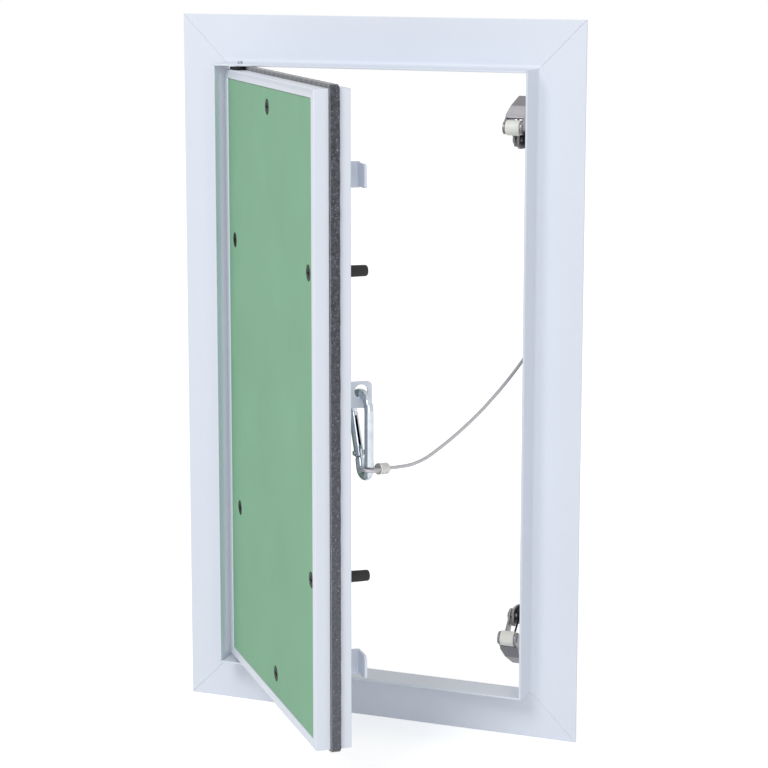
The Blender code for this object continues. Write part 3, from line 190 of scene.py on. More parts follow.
def make_piece(name, shells, finishes, body, stands_for=(), sharp=SHARP):
    """One piece from shells of (points in millimetres, faces, number of the finish).

    Doubles are merged and the faces turned outwards, then it rides on its body.
    """
    points, faces, numbers = [], [], []
    for shell_points, shell_faces, number in shells:
        start = sum(len(part) for part in points)
        faces += [[index + start for index in face] for face in shell_faces]
        numbers += [number] * len(shell_faces)
        points.append(np.asarray(shell_points, float).reshape(-1, 3))
    mesh = bpy.data.meshes.new(name)
    mesh.from_pydata((np.concatenate(points) * MM).tolist(), [], faces)
    for finish in finishes:
        mesh.materials.append(finish)
    mesh.polygons.foreach_set("material_index", numbers)
    shape = bmesh.new()
    shape.from_mesh(mesh)
    bmesh.ops.remove_doubles(shape, verts=shape.verts, dist=MERGE)
    bmesh.ops.recalc_face_normals(shape, faces=shape.faces)
    shape.to_mesh(mesh)
    shape.free()
    mesh.shade_smooth()
    mesh.set_sharp_from_angle(angle=math.radians(sharp))
    piece = placed(name, mesh)
    if body is not None:
        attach(piece, body)
    if stands_for:
        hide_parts(*stands_for)
    return piece


def mitred_member(side, profile, box, depth):
    """A profile carried along one side of a rectangle, with both ends in planes at 45 degrees.

    Point (u, v) of the profile, u inward and v back, lies at s = u + gap and at
    s = length - u - gap.
    """
    left, right, low, high = box
    length = high - low if side in ("left", "right") else right - left
    u, v = profile.T
    s = np.stack([u + MITRE_GAP, length - u - MITRE_GAP])
    u, v = np.broadcast_to(u, s.shape), np.broadcast_to(v + depth, s.shape)
    places = {"left": (left + u, v, low + s), "right": (right - u, v, low + s),
              "bottom": (left + s, v, low + u), "top": (left + s, v, high - u)}
    count = len(profile)
    faces = quads(2, count) + flat_fill([profile], [0]) + flat_fill([profile], [count])
    return np.stack(places[side], -1).reshape(-1, 3), faces


# Corners as (inward, back): the flange, the lip, then the channel's two hooked walls.  The flange
# runs into the lip in a hollow of 3.2 mm.
frame_profile = soft_line(
    [(0, 0), (LIP_IN, 0), (LIP_IN, LIP_FRONT), (LIP_OUT, LIP_FRONT), (LIP_OUT, 1.4), (26.2, 1.4),
     (26.2, 4.3), (23.6, 4.3), (23.6, 3.4), (25.0, 3.4), (25.0, 1.4), (13.4, 1.4), (13.4, 3.4),
     (14.8, 3.4), (14.8, 4.3), (12.2, 4.3), (12.2, 1.4), (0, 1.4)],
    [0.4, 3.2, 0.5, 0.5] + [0.3] * 14, 6)
for side in SIDES:
    points, faces = mitred_member(side, frame_profile, FRAME_BOX, 0.0)
    make_piece(f"frame_{side}_extrusion", [(points, faces, 0)], [powder_coat], "root",
               [f"frame_member_{side}"])


# Corner cleats
# L-shaped plates cut from flat aluminium, pressed into the frame's channel at each corner.
# They are left as rolled: a soft grey metal with fine lines along the plate.
CORNERS = ("top_left", "top_right", "bottom_left", "bottom_right")
FLAT = 0.6            # degrees: triangles of a solid that meet at less are one flat face
EDGE = 32.0           # degrees: edges of a solid that turn by more are rounded


def broken_edges(piece, width, segments, turn):
    """Bevel the edges at which the surface turns by more than so many degrees."""
    bevel = piece.modifiers.new("edges", "BEVEL")
    bevel.width = width * MM
    bevel.segments = segments
    bevel.limit_method = "ANGLE"
    bevel.angle_limit = math.radians(turn)
    bevel.harden_normals = True


def softened(name, finish, width=0.25):
    """A copy of a solid's mesh with round edges: merged, its flat triangles dissolved, bevelled."""
    source = frame["nodes"][name]
    mesh = bpy.data.meshes.new(name + "_shape")
    shape = bmesh.new()
    shape.from_mesh(source.data)
    bmesh.ops.remove_doubles(shape, verts=shape.verts, dist=MERGE)
    bmesh.ops.dissolve_limit(shape, angle_limit=math.radians(FLAT), verts=shape.verts,
                             edges=shape.edges)
    shape.to_mesh(mesh)
    shape.free()
    mesh.materials.clear()
    mesh.materials.append(finish)
    mesh.shade_smooth()
    mesh.set_sharp_from_angle(angle=math.radians(EDGE))
    piece = placed(name + "_shape", mesh)
    broken_edges(piece, width, 2, EDGE)
    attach(piece, source["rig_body"])
    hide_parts(name)
    return piece


# Aluminium as it leaves the mill: a bright grey with drawn lines.  Real ones are finer than a third
# of a millimetre, and wouldn't show.
mill_aluminium, tree, shader, spot = new_finish("mill_aluminium", "#A9ACB1", 0.38, 1.0)
drawn = node(tree, "Mapping", {"Vector": spot, "Scale": (1 / (0.35 * MM), 1 / (0.35 * MM),
                                                         1 / (20 * MM))})
lines = node(tree, "TexNoise", {"Vector": drawn, "Scale": 1.0, "Detail": 3.0})
gloss = node(tree, "MapRange", {"Value": lines, "To Min": 0.28, "To Max": 0.5})
tint = node(tree, "Mix", {0: lines, 6: linear("#999CA2"), 7: linear("#B8BBBF")}, data_type="RGBA")
bump = node(tree, "Bump", {"Height": lines, "Strength": 0.2, "Distance": 0.02 * MM})
joined(shader, tint=tint, gloss=gloss, bump=bump)
for corner in CORNERS:
    softened(f"frame_cleat_{corner}", mill_aluminium, 0.2)


# Leaf members and keys
# The leaf's rim is another extrusion: a narrow white face, a groove for the seal in its edge, and
# a back flange that the board is screwed to.  Aluminium keys join its corners from inside.
PIVOT = np.array([-82.3, -12.2, 0.0])       # a point on both pins' axis
OPEN = math.radians(-50.1)                  # how far the leaf stands open at rest
LEAF_BOX = (-92.9, 92.9, 17.5, 374.5)       # the shut leaf's sides
LEAF_FRONT = -18.8


def opened(points):
    """Turn points of the shut leaf about its pins, by x cos a - y sin a and x sin a + y cos a."""
    cos, sin = math.cos(OPEN), math.sin(OPEN)
    turn = np.array([[cos, sin, 0.0], [-sin, cos, 0.0], [0.0, 0.0, 1.0]])
    return (np.asarray(points, float) - PIVOT) @ turn + PIVOT


def refinished(name, finish):
    """A solid that shows as it is, with a finish instead of its plain colour."""
    slots = frame["nodes"][name].data.materials
    slots.clear()
    slots.append(finish)


# Corners as (inward, back): the front wall, the back flange, the outer wall and the seal's groove.
leaf_profile = soft_line(
    [(0, 0), (5.1, 0), (5.1, 13.4), (26.0, 13.4), (26.0, 14.8), (4.9, 14.8), (4.9, 20.4),
     (0, 20.4), (0, 14.2), (3.3, 14.2), (3.3, 8.4), (0, 8.4)],
    [0.6, 0.5, 0.2, 0.4, 0.4, 0.3, 0.5, 0.6, 0.3, 0.3, 0.3, 0.3])
for side in SIDES:
    points, faces = mitred_member(side, leaf_profile, LEAF_BOX, LEAF_FRONT)
    make_piece(f"leaf_{side}_extrusion", [(opened(points), faces, 0)], [powder_coat], "leaf",
               [f"leaf_member_{side}"])
for corner in CORNERS:
    refinished(f"leaf_key_{corner}", mill_aluminium)


# Plasterboard
# A 12.5 mm moisture-resistant board: green paper in front, greyer paper behind, and a pale gypsum
# core on the cut edges.  The screws press craters into the paper, with painted shade deep in them.
BOARD_BOX = (-87.5, 87.5, 22.9, 369.1)
BOARD_FRONT, BOARD_BACK = -18.2, -5.7
CRATER = [(0.0, 6.2), (0.02, 5.7), (0.08, 5.25), (0.2, 4.9), (0.34, 4.68), (0.5, 4.5),
          (0.8, 4.36), (1.2, 4.3), (3.9, 2.05), (6.0, 2.0), (6.0, 0.0)]   # depth, radius
CRATER_STEPS, UNSHADED_ROWS = 48, 5            # the first rows take the front paper, the deeper rows painted shade
SCREW_SPOTS = {"top": (-2.3, 358.5), "upper_left": (-76.8, 275.1), "upper_right": (78.8, 276.8),
               "lower_left": (-71.0, 114.2), "lower_right": (81.7, 110.2), "bottom": (8.2, 35.0)}


def board_paper(name, colour, pale, dark):
    """Recycled paper lining: soft clouds, and short fibres drawn wide enough to show, 0.7 mm."""
    made, tree, shader, spot = new_finish(name, colour, 0.82)
    fibre = node(tree, "TexNoise", {"Vector": spot, "Scale": 1 / (0.7 * MM), "Detail": 4.0,
                                    "Roughness": 0.65})
    cloud = node(tree, "TexNoise", {"Vector": spot, "Scale": 1 / (45 * MM), "Detail": 3.0})
    mixed = node(tree, "Math", {0: fibre, 1: cloud}, operation="ADD")
    share = node(tree, "MapRange", {"Value": mixed, "From Min": 0.6, "From Max": 1.4})
    tint = node(tree, "Mix", {0: share, 6: linear(dark), 7: linear(pale)}, data_type="RGBA")
    bump = node(tree, "Bump", {"Height": fibre, "Strength": 0.35, "Distance": 0.05 * MM})
    joined(shader, tint=tint, bump=bump)
    return made


# The lining in front, the greyer one behind, and a darker front one as painted shade in craters.
green_paper = board_paper("board_paper_green", "#84B293", "#89BA9A", "#7FAC8D")
back_paper = board_paper("board_paper_back", "#93A898", "#9BAF9F", "#8A9F90")
crater_shade_paper = board_paper("board_paper_crater_shade", "#5E8069", "#6A8F76", "#4C6A56")

# Gypsum: a chalky off-white core, pitted with air bubbles of half a millimetre.
gypsum, tree, shader, spot = new_finish("gypsum_core", "#D9D8CF", 0.95)
pits = node(tree, "TexVoronoi", {"Vector": spot, "Scale": 1 / (0.5 * MM)})
bump = node(tree, "Bump", {"Height": pits, "Strength": 0.6, "Distance": 0.15 * MM})
joined(shader, bump=bump)


def revolved(profile, start, axis, steps=48, relief=None):
    """Carry (along, radius) points round a line that starts at a point and runs along an axis.

    A point lies at start + along * axis + radius * (side cos a + up sin a).
    relief(along, radius, angle) gives what is added to along and to radius.
    """
    along, radius = (value[:, None] for value in np.array(profile, float).T)
    angle = np.linspace(0, 2 * np.pi, steps, endpoint=False)[None]
    if relief is not None:
        more_along, more_radius = relief(along, radius, angle)
        along, radius = along + more_along, radius + more_radius
    axis = np.array(axis, float) / np.linalg.norm(axis)
    side = np.cross(axis, (0.0, 0.0, 1.0) if abs(axis[2]) < 0.9 else (1.0, 0.0, 0.0))
    side /= np.linalg.norm(side)
    up = np.cross(axis, side)
    points = (np.array(start, float) + (along + 0 * angle)[..., None] * axis
              + (radius * np.cos(angle))[..., None] * side
              + (radius * np.sin(angle))[..., None] * up)
    return points.reshape(-1, 3), quads(len(profile), steps)


left, right, low, high = BOARD_BOX
rim = np.array([(left, low), (right, low), (right, high), (left, high)])
loops, shells = [rim], []
for x, z in SCREW_SPOTS.values():
    points, faces = revolved(CRATER, (x, BOARD_FRONT, z), (0, 1, 0), CRATER_STEPS)
    unshaded = CRATER_STEPS * UNSHADED_ROWS
    # the deeper rows of each crater take the darker paper: painted shade
    shells += [(opened(points), faces[:unshaded], 0), (opened(points), faces[unshaded:], 3)]
    loops.append(points[:CRATER_STEPS][:, [0, 2]])
starts = np.cumsum([0] + [len(loop) for loop in loops[:-1]])
front = np.insert(np.concatenate(loops), 1, BOARD_FRONT, 1)
shells.append((opened(front), flat_fill(loops, starts), 0))
corners = np.concatenate([np.insert(rim, 1, BOARD_FRONT, 1), np.insert(rim, 1, BOARD_BACK, 1)])
shells.append((opened(corners), quads(2, 4), 2))
shells.append((opened(corners[4:]), [[0, 1, 2, 3]], 1))
make_piece("plasterboard", shells, [green_paper, back_paper, gypsum, crater_shade_paper], "leaf",
           ["leaf_board"])


# Seal
# A foam strip stands in the groove on all four sides and presses on the frame's lip.  It is cut
# from a sheet of closed-cell foam, so its edges wander a little and its cells catch the light.
SEAL_PROUD, SEAL_FOOT = -2.0, 3.0           # inset of the strip's outer face and of its foot
SEAL_NEAR, SEAL_FAR = 8.7, 13.9             # behind the leaf's front
SEAL_SECTION = soft_line([(SEAL_PROUD, SEAL_NEAR), (SEAL_FOOT, SEAL_NEAR), (SEAL_FOOT, SEAL_FAR),
                          (SEAL_PROUD, SEAL_FAR)], [0.5, 0.2, 0.2, 0.5], 3)
SEAL_CORNER_STEPS = 8


def arc(centre, radius, start, end, steps):
    """Points of an arc in a plane: centre + radius * (cos a, sin a), with a in degrees."""
    angle = np.radians(np.linspace(start, end, steps))
    return np.stack([centre[0] + radius * np.cos(angle), centre[1] + radius * np.sin(angle)], 1)


def seal_loop(inset, count=100):
    """Points round a rectangle with round corners; every inset gives as many, in the same order."""
    radius = max(1.5 - inset, 0.25)
    left, right, low, high = (value + sign * (inset + radius)
                              for value, sign in zip(LEAF_BOX, (1, -1, 1, -1)))
    arcs = [arc(centre, radius, start, start + 90, SEAL_CORNER_STEPS) for centre, start in (
        ((right, low), -90), ((right, high), 0), ((left, high), 90), ((left, low), 180))]
    share = np.linspace(0, 1, count, endpoint=False)[1:, None]
    sides = [near[-1] + (far[0] - near[-1]) * share for near, far in zip(arcs, arcs[1:] + arcs[:1])]
    return np.concatenate([part for pair in zip(arcs, sides) for part in pair])


insets, depths = SEAL_SECTION.T
ring = np.stack([seal_loop(inset) for inset in insets])
turn = np.arange(ring.shape[1]) * 2 * np.pi / ring.shape[1]

# The knife wandered by a tenth of a millimetre: three waves along the strip move its outer face in
# and out, and one moves it to and fro in the groove, by no more than the groove lets it.
wander = 0.07 * np.sin(67 * turn) + 0.05 * np.sin(151 * turn + 1) + 0.04 * np.sin(173 * turn + 2)
proud = np.clip(-insets, 0, 1)[:, None]
centre, inner_half = np.array([0.0, (LEAF_BOX[2] + LEAF_BOX[3]) / 2]), np.array([88.0, 170.0])
outward = ring[0] - np.clip(ring[0], centre - inner_half, centre + inner_half)
outward /= np.linalg.norm(outward, axis=1)[:, None]
ring = ring - (proud * wander - 0.15)[..., None] * outward * proud[..., None] * 0.5
depth = LEAF_FRONT + np.broadcast_to(depths[:, None], ring.shape[:2]) + 0.1 * np.sin(83 * turn)
depth = np.clip(depth, LEAF_FRONT + SEAL_NEAR - 0.15, LEAF_FRONT + SEAL_FAR + 0.15)
points = np.stack([ring[..., 0], depth, ring[..., 1]], -1)
points = np.concatenate([points, points[:1]])

# Closed-cell foam: near black, with pale dust in some cells and its lower end greyer and paler as
# painted light.  Its cells are drawn 0.9 mm wide, about twice the real size, so that they show.
seal_foam, tree, shader, spot = new_finish("closed_cell_foam", "#4A4D56", 0.9)
shader.inputs["Sheen Weight"].default_value = 0.8
shader.inputs["Sheen Roughness"].default_value = 0.4
cells = node(tree, "TexVoronoi", {"Vector": spot, "Scale": 1 / (0.9 * MM)})
grain = node(tree, "TexNoise", {"Vector": spot, "Scale": 1 / (2.2 * MM), "Detail": 5.0})
streak = node(tree, "MapRange", {"Value": grain, "From Min": 0.35, "From Max": 0.7})
tone = node(tree, "Mix", {0: streak, 6: linear("#34363D"), 7: linear("#53565E")}, data_type="RGBA")
speck_noise = node(tree, "TexNoise", {"Vector": spot, "Scale": 1 / (0.9 * MM), "Detail": 1.0})
speck = node(tree, "MapRange", {"Value": speck_noise, "From Min": 0.6, "From Max": 0.76})
height = node(tree, "SeparateXYZ", {"Vector": spot}).outputs["Z"]
# Painted light: below 0.26 m the strip turns towards a paler grey, most at its lower end.
lower_painted_light = node(tree, "MapRange", {"Value": height, "From Min": 0.26, "From Max": 0.03, "To Max": 0.55})
tone = node(tree, "Mix", {0: lower_painted_light, 6: tone.outputs[2], 7: linear("#696C74")}, data_type="RGBA")
tint = node(tree, "Mix", {0: speck, 6: tone.outputs[2], 7: linear("#8A8D95")}, data_type="RGBA")
bump = node(tree, "Bump", {"Height": cells, "Strength": 0.8, "Distance": 0.25 * MM})
joined(shader, tint=tint, bump=bump)
make_piece("foam_seal", [(opened(points.reshape(-1, 3)), quads(len(points), points.shape[1]), 0)],
           [seal_foam], "leaf", ["leaf_seal"])


# Board screws
# Drywall screws: black phosphated steel, a bugle head with a cross recess, and a coarse thread
# that runs through the board and the rim's flange into the rubber cap behind.
SCREW_FRONT = -17.8
SCREW_R, HEAD_R, SCREW_LENGTH, TIP_LENGTH = 1.75, 4.0, 30.0, 5.0
THREAD_PITCH, THREAD_DEPTH, THREAD_START = 2.6, 0.32, 5.0
WING, WING_REACH, WING_DEPTH = 0.62, 2.35, 1.7      # half width, reach and depth of the recess

# Phosphated and oiled steel: a dark grey crystal layer with a dull, uneven shine.  Its crystals are
# drawn a quarter millimetre wide, so that they show.
black_steel, tree, shader, spot = new_finish("phosphated_steel", "#181A1B", 0.5)
shader.inputs["Specular IOR Level"].default_value = 0.25
crystal = node(tree, "TexNoise", {"Vector": spot, "Scale": 1 / (0.25 * MM), "Detail": 3.0})
gloss = node(tree, "MapRange", {"Value": crystal, "To Min": 0.4, "To Max": 0.65})
bump = node(tree, "Bump", {"Height": crystal, "Strength": 0.3, "Distance": 0.03 * MM})
joined(shader, gloss=gloss, bump=bump)


def cross_recess(radius, angle, wing, reach, depth):
    """Depth of a cross recess: a ramp across a wing times a ramp at its end; the deeper counts."""
    a, b = np.abs(radius * np.cos(angle)), np.abs(radius * np.sin(angle))
    across = [np.clip((wing - value) / (0.35 * wing), 0, 1) for value in (a, b)]
    along = [np.clip((reach - value) / (0.7 * reach), 0, 1) for value in (b, a)]
    return depth * np.maximum(across[0] * along[0], across[1] * along[1])


def screw_relief(along, radius, angle):
    """The recess in the head's face, and the thread: a ridge that climbs a pitch in each turn."""
    recess = np.where(along <= 0.001,
                      cross_recess(radius, angle, WING, WING_REACH, WING_DEPTH), 0.0)
    phase = np.abs(((along / THREAD_PITCH - angle / (2 * np.pi)) % 1.0) - 0.5) * 2
    fade = (np.clip((along - THREAD_START) / 2.0, 0, 1)
            * np.clip((SCREW_LENGTH - along) / 3.0, 0, 1))
    return recess, -THREAD_DEPTH * fade * np.clip(phase * 1.6, 0, 1) * (along > THREAD_START)


face_rows = [(0.0, radius) for radius in np.linspace(0, HEAD_R - 0.15, 30)]
side_rows = [(0.05, HEAD_R - 0.04), (0.15, HEAD_R), (0.45, HEAD_R), (0.55, HEAD_R - 0.05)]
side_rows += [(0.55 + 2.65 * t, 3.9 - 2.15 * t ** 0.55) for t in np.linspace(0.08, 1, 9)]
shank_rows = [(along, SCREW_R) for along in np.linspace(3.5, SCREW_LENGTH - TIP_LENGTH, 84)]
tip_rows = [(SCREW_LENGTH - TIP_LENGTH * (1 - t), SCREW_R * (1 - t) + 0.02)
            for t in np.linspace(0.1, 1, 10)]
screw_rows = face_rows + side_rows + shank_rows + tip_rows + [(SCREW_LENGTH, 0.0)]
for name, (x, z) in SCREW_SPOTS.items():
    points, faces = revolved(screw_rows, (x, SCREW_FRONT, z), (0, 1, 0), 64, screw_relief)
    make_piece(f"drywall_screw_{name}", [(opened(points), faces, 0)], [black_steel], "leaf",
               [f"board_screw_{name}"], 40.0)


# Screw caps
# Black rubber caps, moulded with a foot.  They are pushed over the screws' points behind the leaf,
# where the thread holds them.
CAP_FOOT_Y = -3.7
# (along, radius), from the bottom of the hollow out over the foot to the round tip.
cap_profile = soft_line(
    [(15.4, 0.0), (8.0, 2.05), (0.0, 2.05), (0.0, 3.75), (0.8, 3.75), (1.3, 3.25), (18.6, 3.05),
     (18.6, 0.0)], [0, 0, 0.2, 0.25, 0.25, 0.3, 1.7, 0], 6, False)

# Moulded natural rubber with carbon black: matt, faintly dusty, with a fine moulded grain.
black_rubber, tree, shader, spot = new_finish("moulded_rubber", "#1D1D1F", 0.62)
dust = node(tree, "TexNoise", {"Vector": spot, "Scale": 1 / (3 * MM), "Detail": 4.0})
tint = node(tree, "Mix", {0: dust, 6: linear("#0E0E0F"), 7: linear("#1A1A1D")}, data_type="RGBA")
grain = node(tree, "TexNoise", {"Vector": spot, "Scale": 1 / (0.3 * MM)})
bump = node(tree, "Bump", {"Height": grain, "Strength": 0.2, "Distance": 0.03 * MM})
joined(shader, tint=tint, bump=bump)
for name, (x, z) in SCREW_SPOTS.items():
    points, faces = revolved(cap_profile, (x, CAP_FOOT_Y, z), (0, 1, 0), 48)
    make_piece(f"rubber_cap_{name}", [(opened(points), faces, 0)], [black_rubber], "leaf",
               [f"screw_cap_{name}"])


# Hinge pins
# A dark steel plate lies on each end of the leaf, and a bright pin riveted into it turns in a hole
# in the frame's lip.
PLATE_CORNERS = [(-89.8, -17.0), (-74.8, -17.0), (-74.8, -10.4), (-89.8, -10.4)]


def lids(rows, columns):
    """The first and the last row of a grid of points, each as one face."""
    return [list(range(start, start + columns)) for start in (0, (rows - 1) * columns)]


def stacked(corners, radius, levels, steps=6):
    """A plate: one rounded outline at several heights, each shrunk towards its middle by an inset.

    A point lies at middle + (P - middle) * (1 - inset / half), with the half size of its own axis.
    """
    outline = soft_line(corners, radius, steps)
    middle = (outline.min(0) + outline.max(0)) / 2
    half = (outline.max(0) - outline.min(0)) / 2
    rows = [np.insert(middle + (outline - middle) * (1 - inset / half), 2, height, 1)
            for height, inset in levels]
    size = (len(rows), len(outline))
    return np.concatenate(rows), quads(*size) + lids(*size)


pin_profile = soft_line([(-4.0, 0.0), (-4.0, 1.4), (5.0, 1.4), (5.0, 0.0)], [0, 0.2, 0.6, 0], 5,
                        False)
for end, foot, sign in (("top", LEAF_BOX[3], 1), ("bottom", LEAF_BOX[2], -1)):
    plate = stacked(PLATE_CORNERS, 2.0, [(foot + sign * height, inset) for height, inset in (
        (0.3, 0.15), (0.4, 0.0), (1.4, 0.0), (1.5, 0.15))])
    pin = revolved(pin_profile, (PIVOT[0], PIVOT[1], foot), (0, 0, sign), 32)
    make_piece(f"pivot_plate_{end}", [(opened(plate[0]), plate[1], 0), (opened(pin[0]), pin[1], 1)],
               [black_steel, mill_aluminium], "leaf", [f"hinge_pin_{end}"])


# Strike hooks and hook-up bracket
# Strips of 1.4 mm steel, folded and powder coated with the leaf, and fixed to its back flange
# with blind rivets.  The rollers catch the hooks' lips, and the snap hook hangs in the bracket.
SHEET = 1.4
FOLD = 1.7            # middle radius of every fold
FOOT_X, FOOT_Y, LEG_X = 67.2, -3.0, 72.2
LIP_Y, LIP_END = 12.3, 84.6
HOOK_Z = {"upper": 327.5, "lower": 59.1}
HOOK_HALF, LIP_HALF, LIP_ROUND = 7.0, 6.3, (1.2, 3.0)    # the lip's lower and upper corner
RIVET_X = 69.05


def sheet_metal(name, points, faces, replaced):
    """A folded sheet: its middle surface, thickened both ways by Solidify, with broken edges."""
    piece = make_piece(name, [(opened(points), faces, 0)], [powder_coat], "leaf",
                       [replaced])
    wall = piece.modifiers.new("wall", "SOLIDIFY")
    wall.thickness = SHEET * MM
    wall.offset = 0.0
    broken_edges(piece, 0.3, 3, 50.0)


def blind_rivet(name, z):
    """A blind rivet's domed head with the hollow that its mandrel leaves."""
    profile = soft_line(
        [(-0.1, 0.0), (-0.1, 1.7), (0.35, 1.7), (1.0, 0.95), (1.0, 0.5), (0.4, 0.45), (0.4, 0.0)],
        [0, 0.1, 0.3, 0.3, 0.1, 0.1, 0], 4, False)
    points, faces = revolved(profile, (RIVET_X, FOOT_Y + SHEET / 2, z), (0, 1, 0), 32)
    make_piece(name, [(opened(points), faces, 0)], [mill_aluminium], "leaf")


# The fold line seen from above, its last 4 mm in steps that close up towards the lip's end.  At a
# distance d into a corner of radius r, the lip is narrower there by r - sqrt(r^2 - d^2).
hook_line = soft_line([(FOOT_X, FOOT_Y), (LEG_X, FOOT_Y), (LEG_X, LIP_Y), (80.0, LIP_Y)], FOLD, 8,
                      False)
lip_x = LIP_END - 4.0 + 4.0 * np.sin(np.linspace(0, np.pi / 2, 14))
hook_line = np.concatenate([hook_line[:-1], np.stack([lip_x, np.full(14, LIP_Y)], 1)])
on_lip = (hook_line[:, 1] > 6.0) & (hook_line[:, 0] > LEG_X + 0.7)
half = np.where(on_lip, LIP_HALF, HOOK_HALF)
into = [np.clip(hook_line[:, 0] - LIP_END + size, 0, size) for size in LIP_ROUND]
ends = [half - np.where(on_lip, size - np.sqrt(np.maximum(size ** 2 - d ** 2, 0)), 0)
        for size, d in zip(LIP_ROUND, into)]
for which, mid in HOOK_Z.items():
    across = np.linspace(0, 1, 7)[None]
    z = mid - ends[0][:, None] * (1 - across) + ends[1][:, None] * across
    x, y = (np.broadcast_to(value[:, None], z.shape) for value in hook_line.T)
    sheet_metal(f"strike_plate_{which}", np.stack([x, y, z], -1).reshape(-1, 3),
                quads(len(hook_line), 7, False), f"strike_hook_{which}")
    blind_rivet(f"strike_rivet_{which}", mid)

# The bracket: a folded strip, and beyond its fold a flat plate with round corners and a hole.
BRACKET_Z, BRACKET_HALF, BRACKET_BACK, PLATE_Y = 208.6, 7.05, 19.4, 2.0
EYE_Y, EYE_Z, EYE_R = 13.3, 210.25, 3.75
fold_line = soft_line([(FOOT_X, FOOT_Y), (LEG_X, FOOT_Y), (LEG_X, PLATE_Y)], FOLD, 8, False)
low, high = BRACKET_Z - BRACKET_HALF, BRACKET_Z + BRACKET_HALF
x, y = (np.broadcast_to(value[:, None], (len(fold_line), 2)) for value in fold_line.T)
strip = np.stack([x, y, np.broadcast_to([low, high], x.shape)], -1).reshape(-1, 3)
outline = soft_line([(PLATE_Y, low), (BRACKET_BACK, low), (BRACKET_BACK, high), (PLATE_Y, high)],
                    [0, 3.0, 3.0, 0], 8)
hole = arc((EYE_Y, EYE_Z), EYE_R, 0, 360, 49)[:-1]
plate = np.insert(np.concatenate([outline, hole]), 0, LEG_X, 1)
plate_faces = [[index + len(strip) for index in face]
               for face in flat_fill([outline, hole], [0, len(outline)])]
sheet_metal("hook_up_plate", np.concatenate([strip, plate]),
            quads(len(fold_line), 2, False) + plate_faces, "hookup_bracket")
blind_rivet("hook_up_rivet", BRACKET_Z)


# Snap hook
# A 50 x 5 mm snap hook: steel wire bent to shape, flattened at the gate's rivet and cut to a
# tongue at its nose.  The gate is rolled from sheet, so a slot runs along its inner side.
HANG = np.array([72.2, 13.3, 209.3])        # where its wire lies in the bracket's hole
TURN = math.radians(11.0)
WIRE_R, TOP_R, LOW_R = 2.5, 9.25, 4.75      # the wire, and its middle line's two bends
LOW_Z = -40.25                              # middle of the lower bend, below the hanging point
GATE_R, GATE_LENGTH = 2.65, 30.0
GATE_PIVOT, GATE_TIP = np.array([-2.0, -33.4]), np.array([-9.0, -12.1])     # (across, up)

# Bright zinc plate with a blue passivate: a cool, smooth metal with faint clouds in its gloss.
zinc_plate, tree, shader, spot = new_finish("bright_zinc_plate", "#BFC7CE", 0.16, 1.0)
cloud = node(tree, "TexNoise", {"Vector": spot, "Scale": 1 / (4 * MM), "Detail": 3.0})
tint = node(tree, "Mix", {0: cloud, 6: linear("#B2BCC5"), 7: linear("#DDE1E6")}, data_type="RGBA")
gloss = node(tree, "MapRange", {"Value": cloud, "To Min": 0.08, "To Max": 0.24})
ripple = node(tree, "TexNoise", {"Vector": spot, "Scale": 1 / (1.2 * MM), "Detail": 2.0})
bump = node(tree, "Bump", {"Height": ripple, "Strength": 0.3, "Distance": 0.05 * MM})
joined(shader, tint=tint, gloss=gloss, bump=bump)


def hung(points):
    """From the hook's own (across, up, out of plane) to the open leaf: turned by TURN about Z."""
    e, z, m = np.asarray(points, float).T
    cos, sin = math.cos(TURN), math.sin(TURN)
    return opened(HANG + np.stack([e * cos - m * sin, e * sin + m * cos, z], 1))


def carried(path, section, reference):
    """Carry a closed section along a path: P + a * side + b * up.

    side is the path's heading crossed with the reference, and up completes the right angle.
    A section may change along the path, as an array of (row, point, 2).
    """
    path = np.asarray(path, float)
    heading = np.gradient(path, axis=0)
    heading /= np.linalg.norm(heading, axis=1)[:, None]
    side = np.cross(heading, reference)
    side /= np.linalg.norm(side, axis=1)[:, None]
    up = np.cross(side, heading)
    section = np.broadcast_to(section, (len(path), *np.shape(section)[-2:]))
    points = path[:, None] + section[..., :1] * side[:, None] + section[..., 1:] * up[:, None]
    return points.reshape(-1, 3), quads(*section.shape[:2]) + lids(*section.shape[:2])


def carve(piece, *steps, dark=False):
    """Cut a piece with shells or keep what is in one; dark blackens the cuts as painted shade."""
    cutters = []
    for operation, points, faces in steps:
        cutter = make_piece(f"cutter_{len(cutters)}", [(points, faces, 0)],
                            [black_steel] if operation == "DIFFERENCE" and dark else [], None)
        boolean = piece.modifiers.new("carve", "BOOLEAN")
        boolean.operation = operation
        boolean.solver = "EXACT"
        boolean.material_mode = "TRANSFER" if dark else "INDEX"
        boolean.object = cutter
        cutters.append(cutter)
    bpy.context.view_layer.update()
    shaped = piece.evaluated_get(bpy.context.evaluated_depsgraph_get())
    mesh = bpy.data.meshes.new_from_object(shaped)
    piece.modifiers.clear()
    piece.data = mesh
    mesh.shade_smooth()
    mesh.set_sharp_from_angle(angle=math.radians(SHARP))
    for cutter in cutters:
        bpy.data.objects.remove(cutter)


def disc(centre, radius, half, steps=64):
    """A disc about a hook point, its axis out of the hook's plane."""
    points, faces = revolved([(-half, 0.0), (-half, radius), (half, radius), (half, 0.0)],
                             (centre[0], centre[1], 0.0), (0, 0, 1), steps)
    return hung(points), faces


def ring_cut(inner, outer, near, far, steps=40):
    """A ring about the gate's rivet, from near to far out of the plane, on the nose's side only."""
    section = np.array([(inner, near), (outer, near), (outer, far), (inner, far)])
    points = np.stack([np.insert(arc(GATE_PIVOT, radius, 75, 130, steps), 2, depth, 1)
                       for radius, depth in section], 1)
    return hung(points.reshape(-1, 3)), quads(steps, 4) + lids(steps, 4)


def block(outline, near, far):
    """A four-sided outline in the hook's plane, carried from near to far out of the plane."""
    corners = np.concatenate([np.insert(np.array(outline, float), 2, depth, 1)
                              for depth in (near, far)])
    return hung(corners), quads(2, 4) + lids(2, 4)


def square(left, low, right, high):
    """The corners of a rectangle in the hook's plane."""
    return [(left, low), (right, low), (right, high), (left, high)]


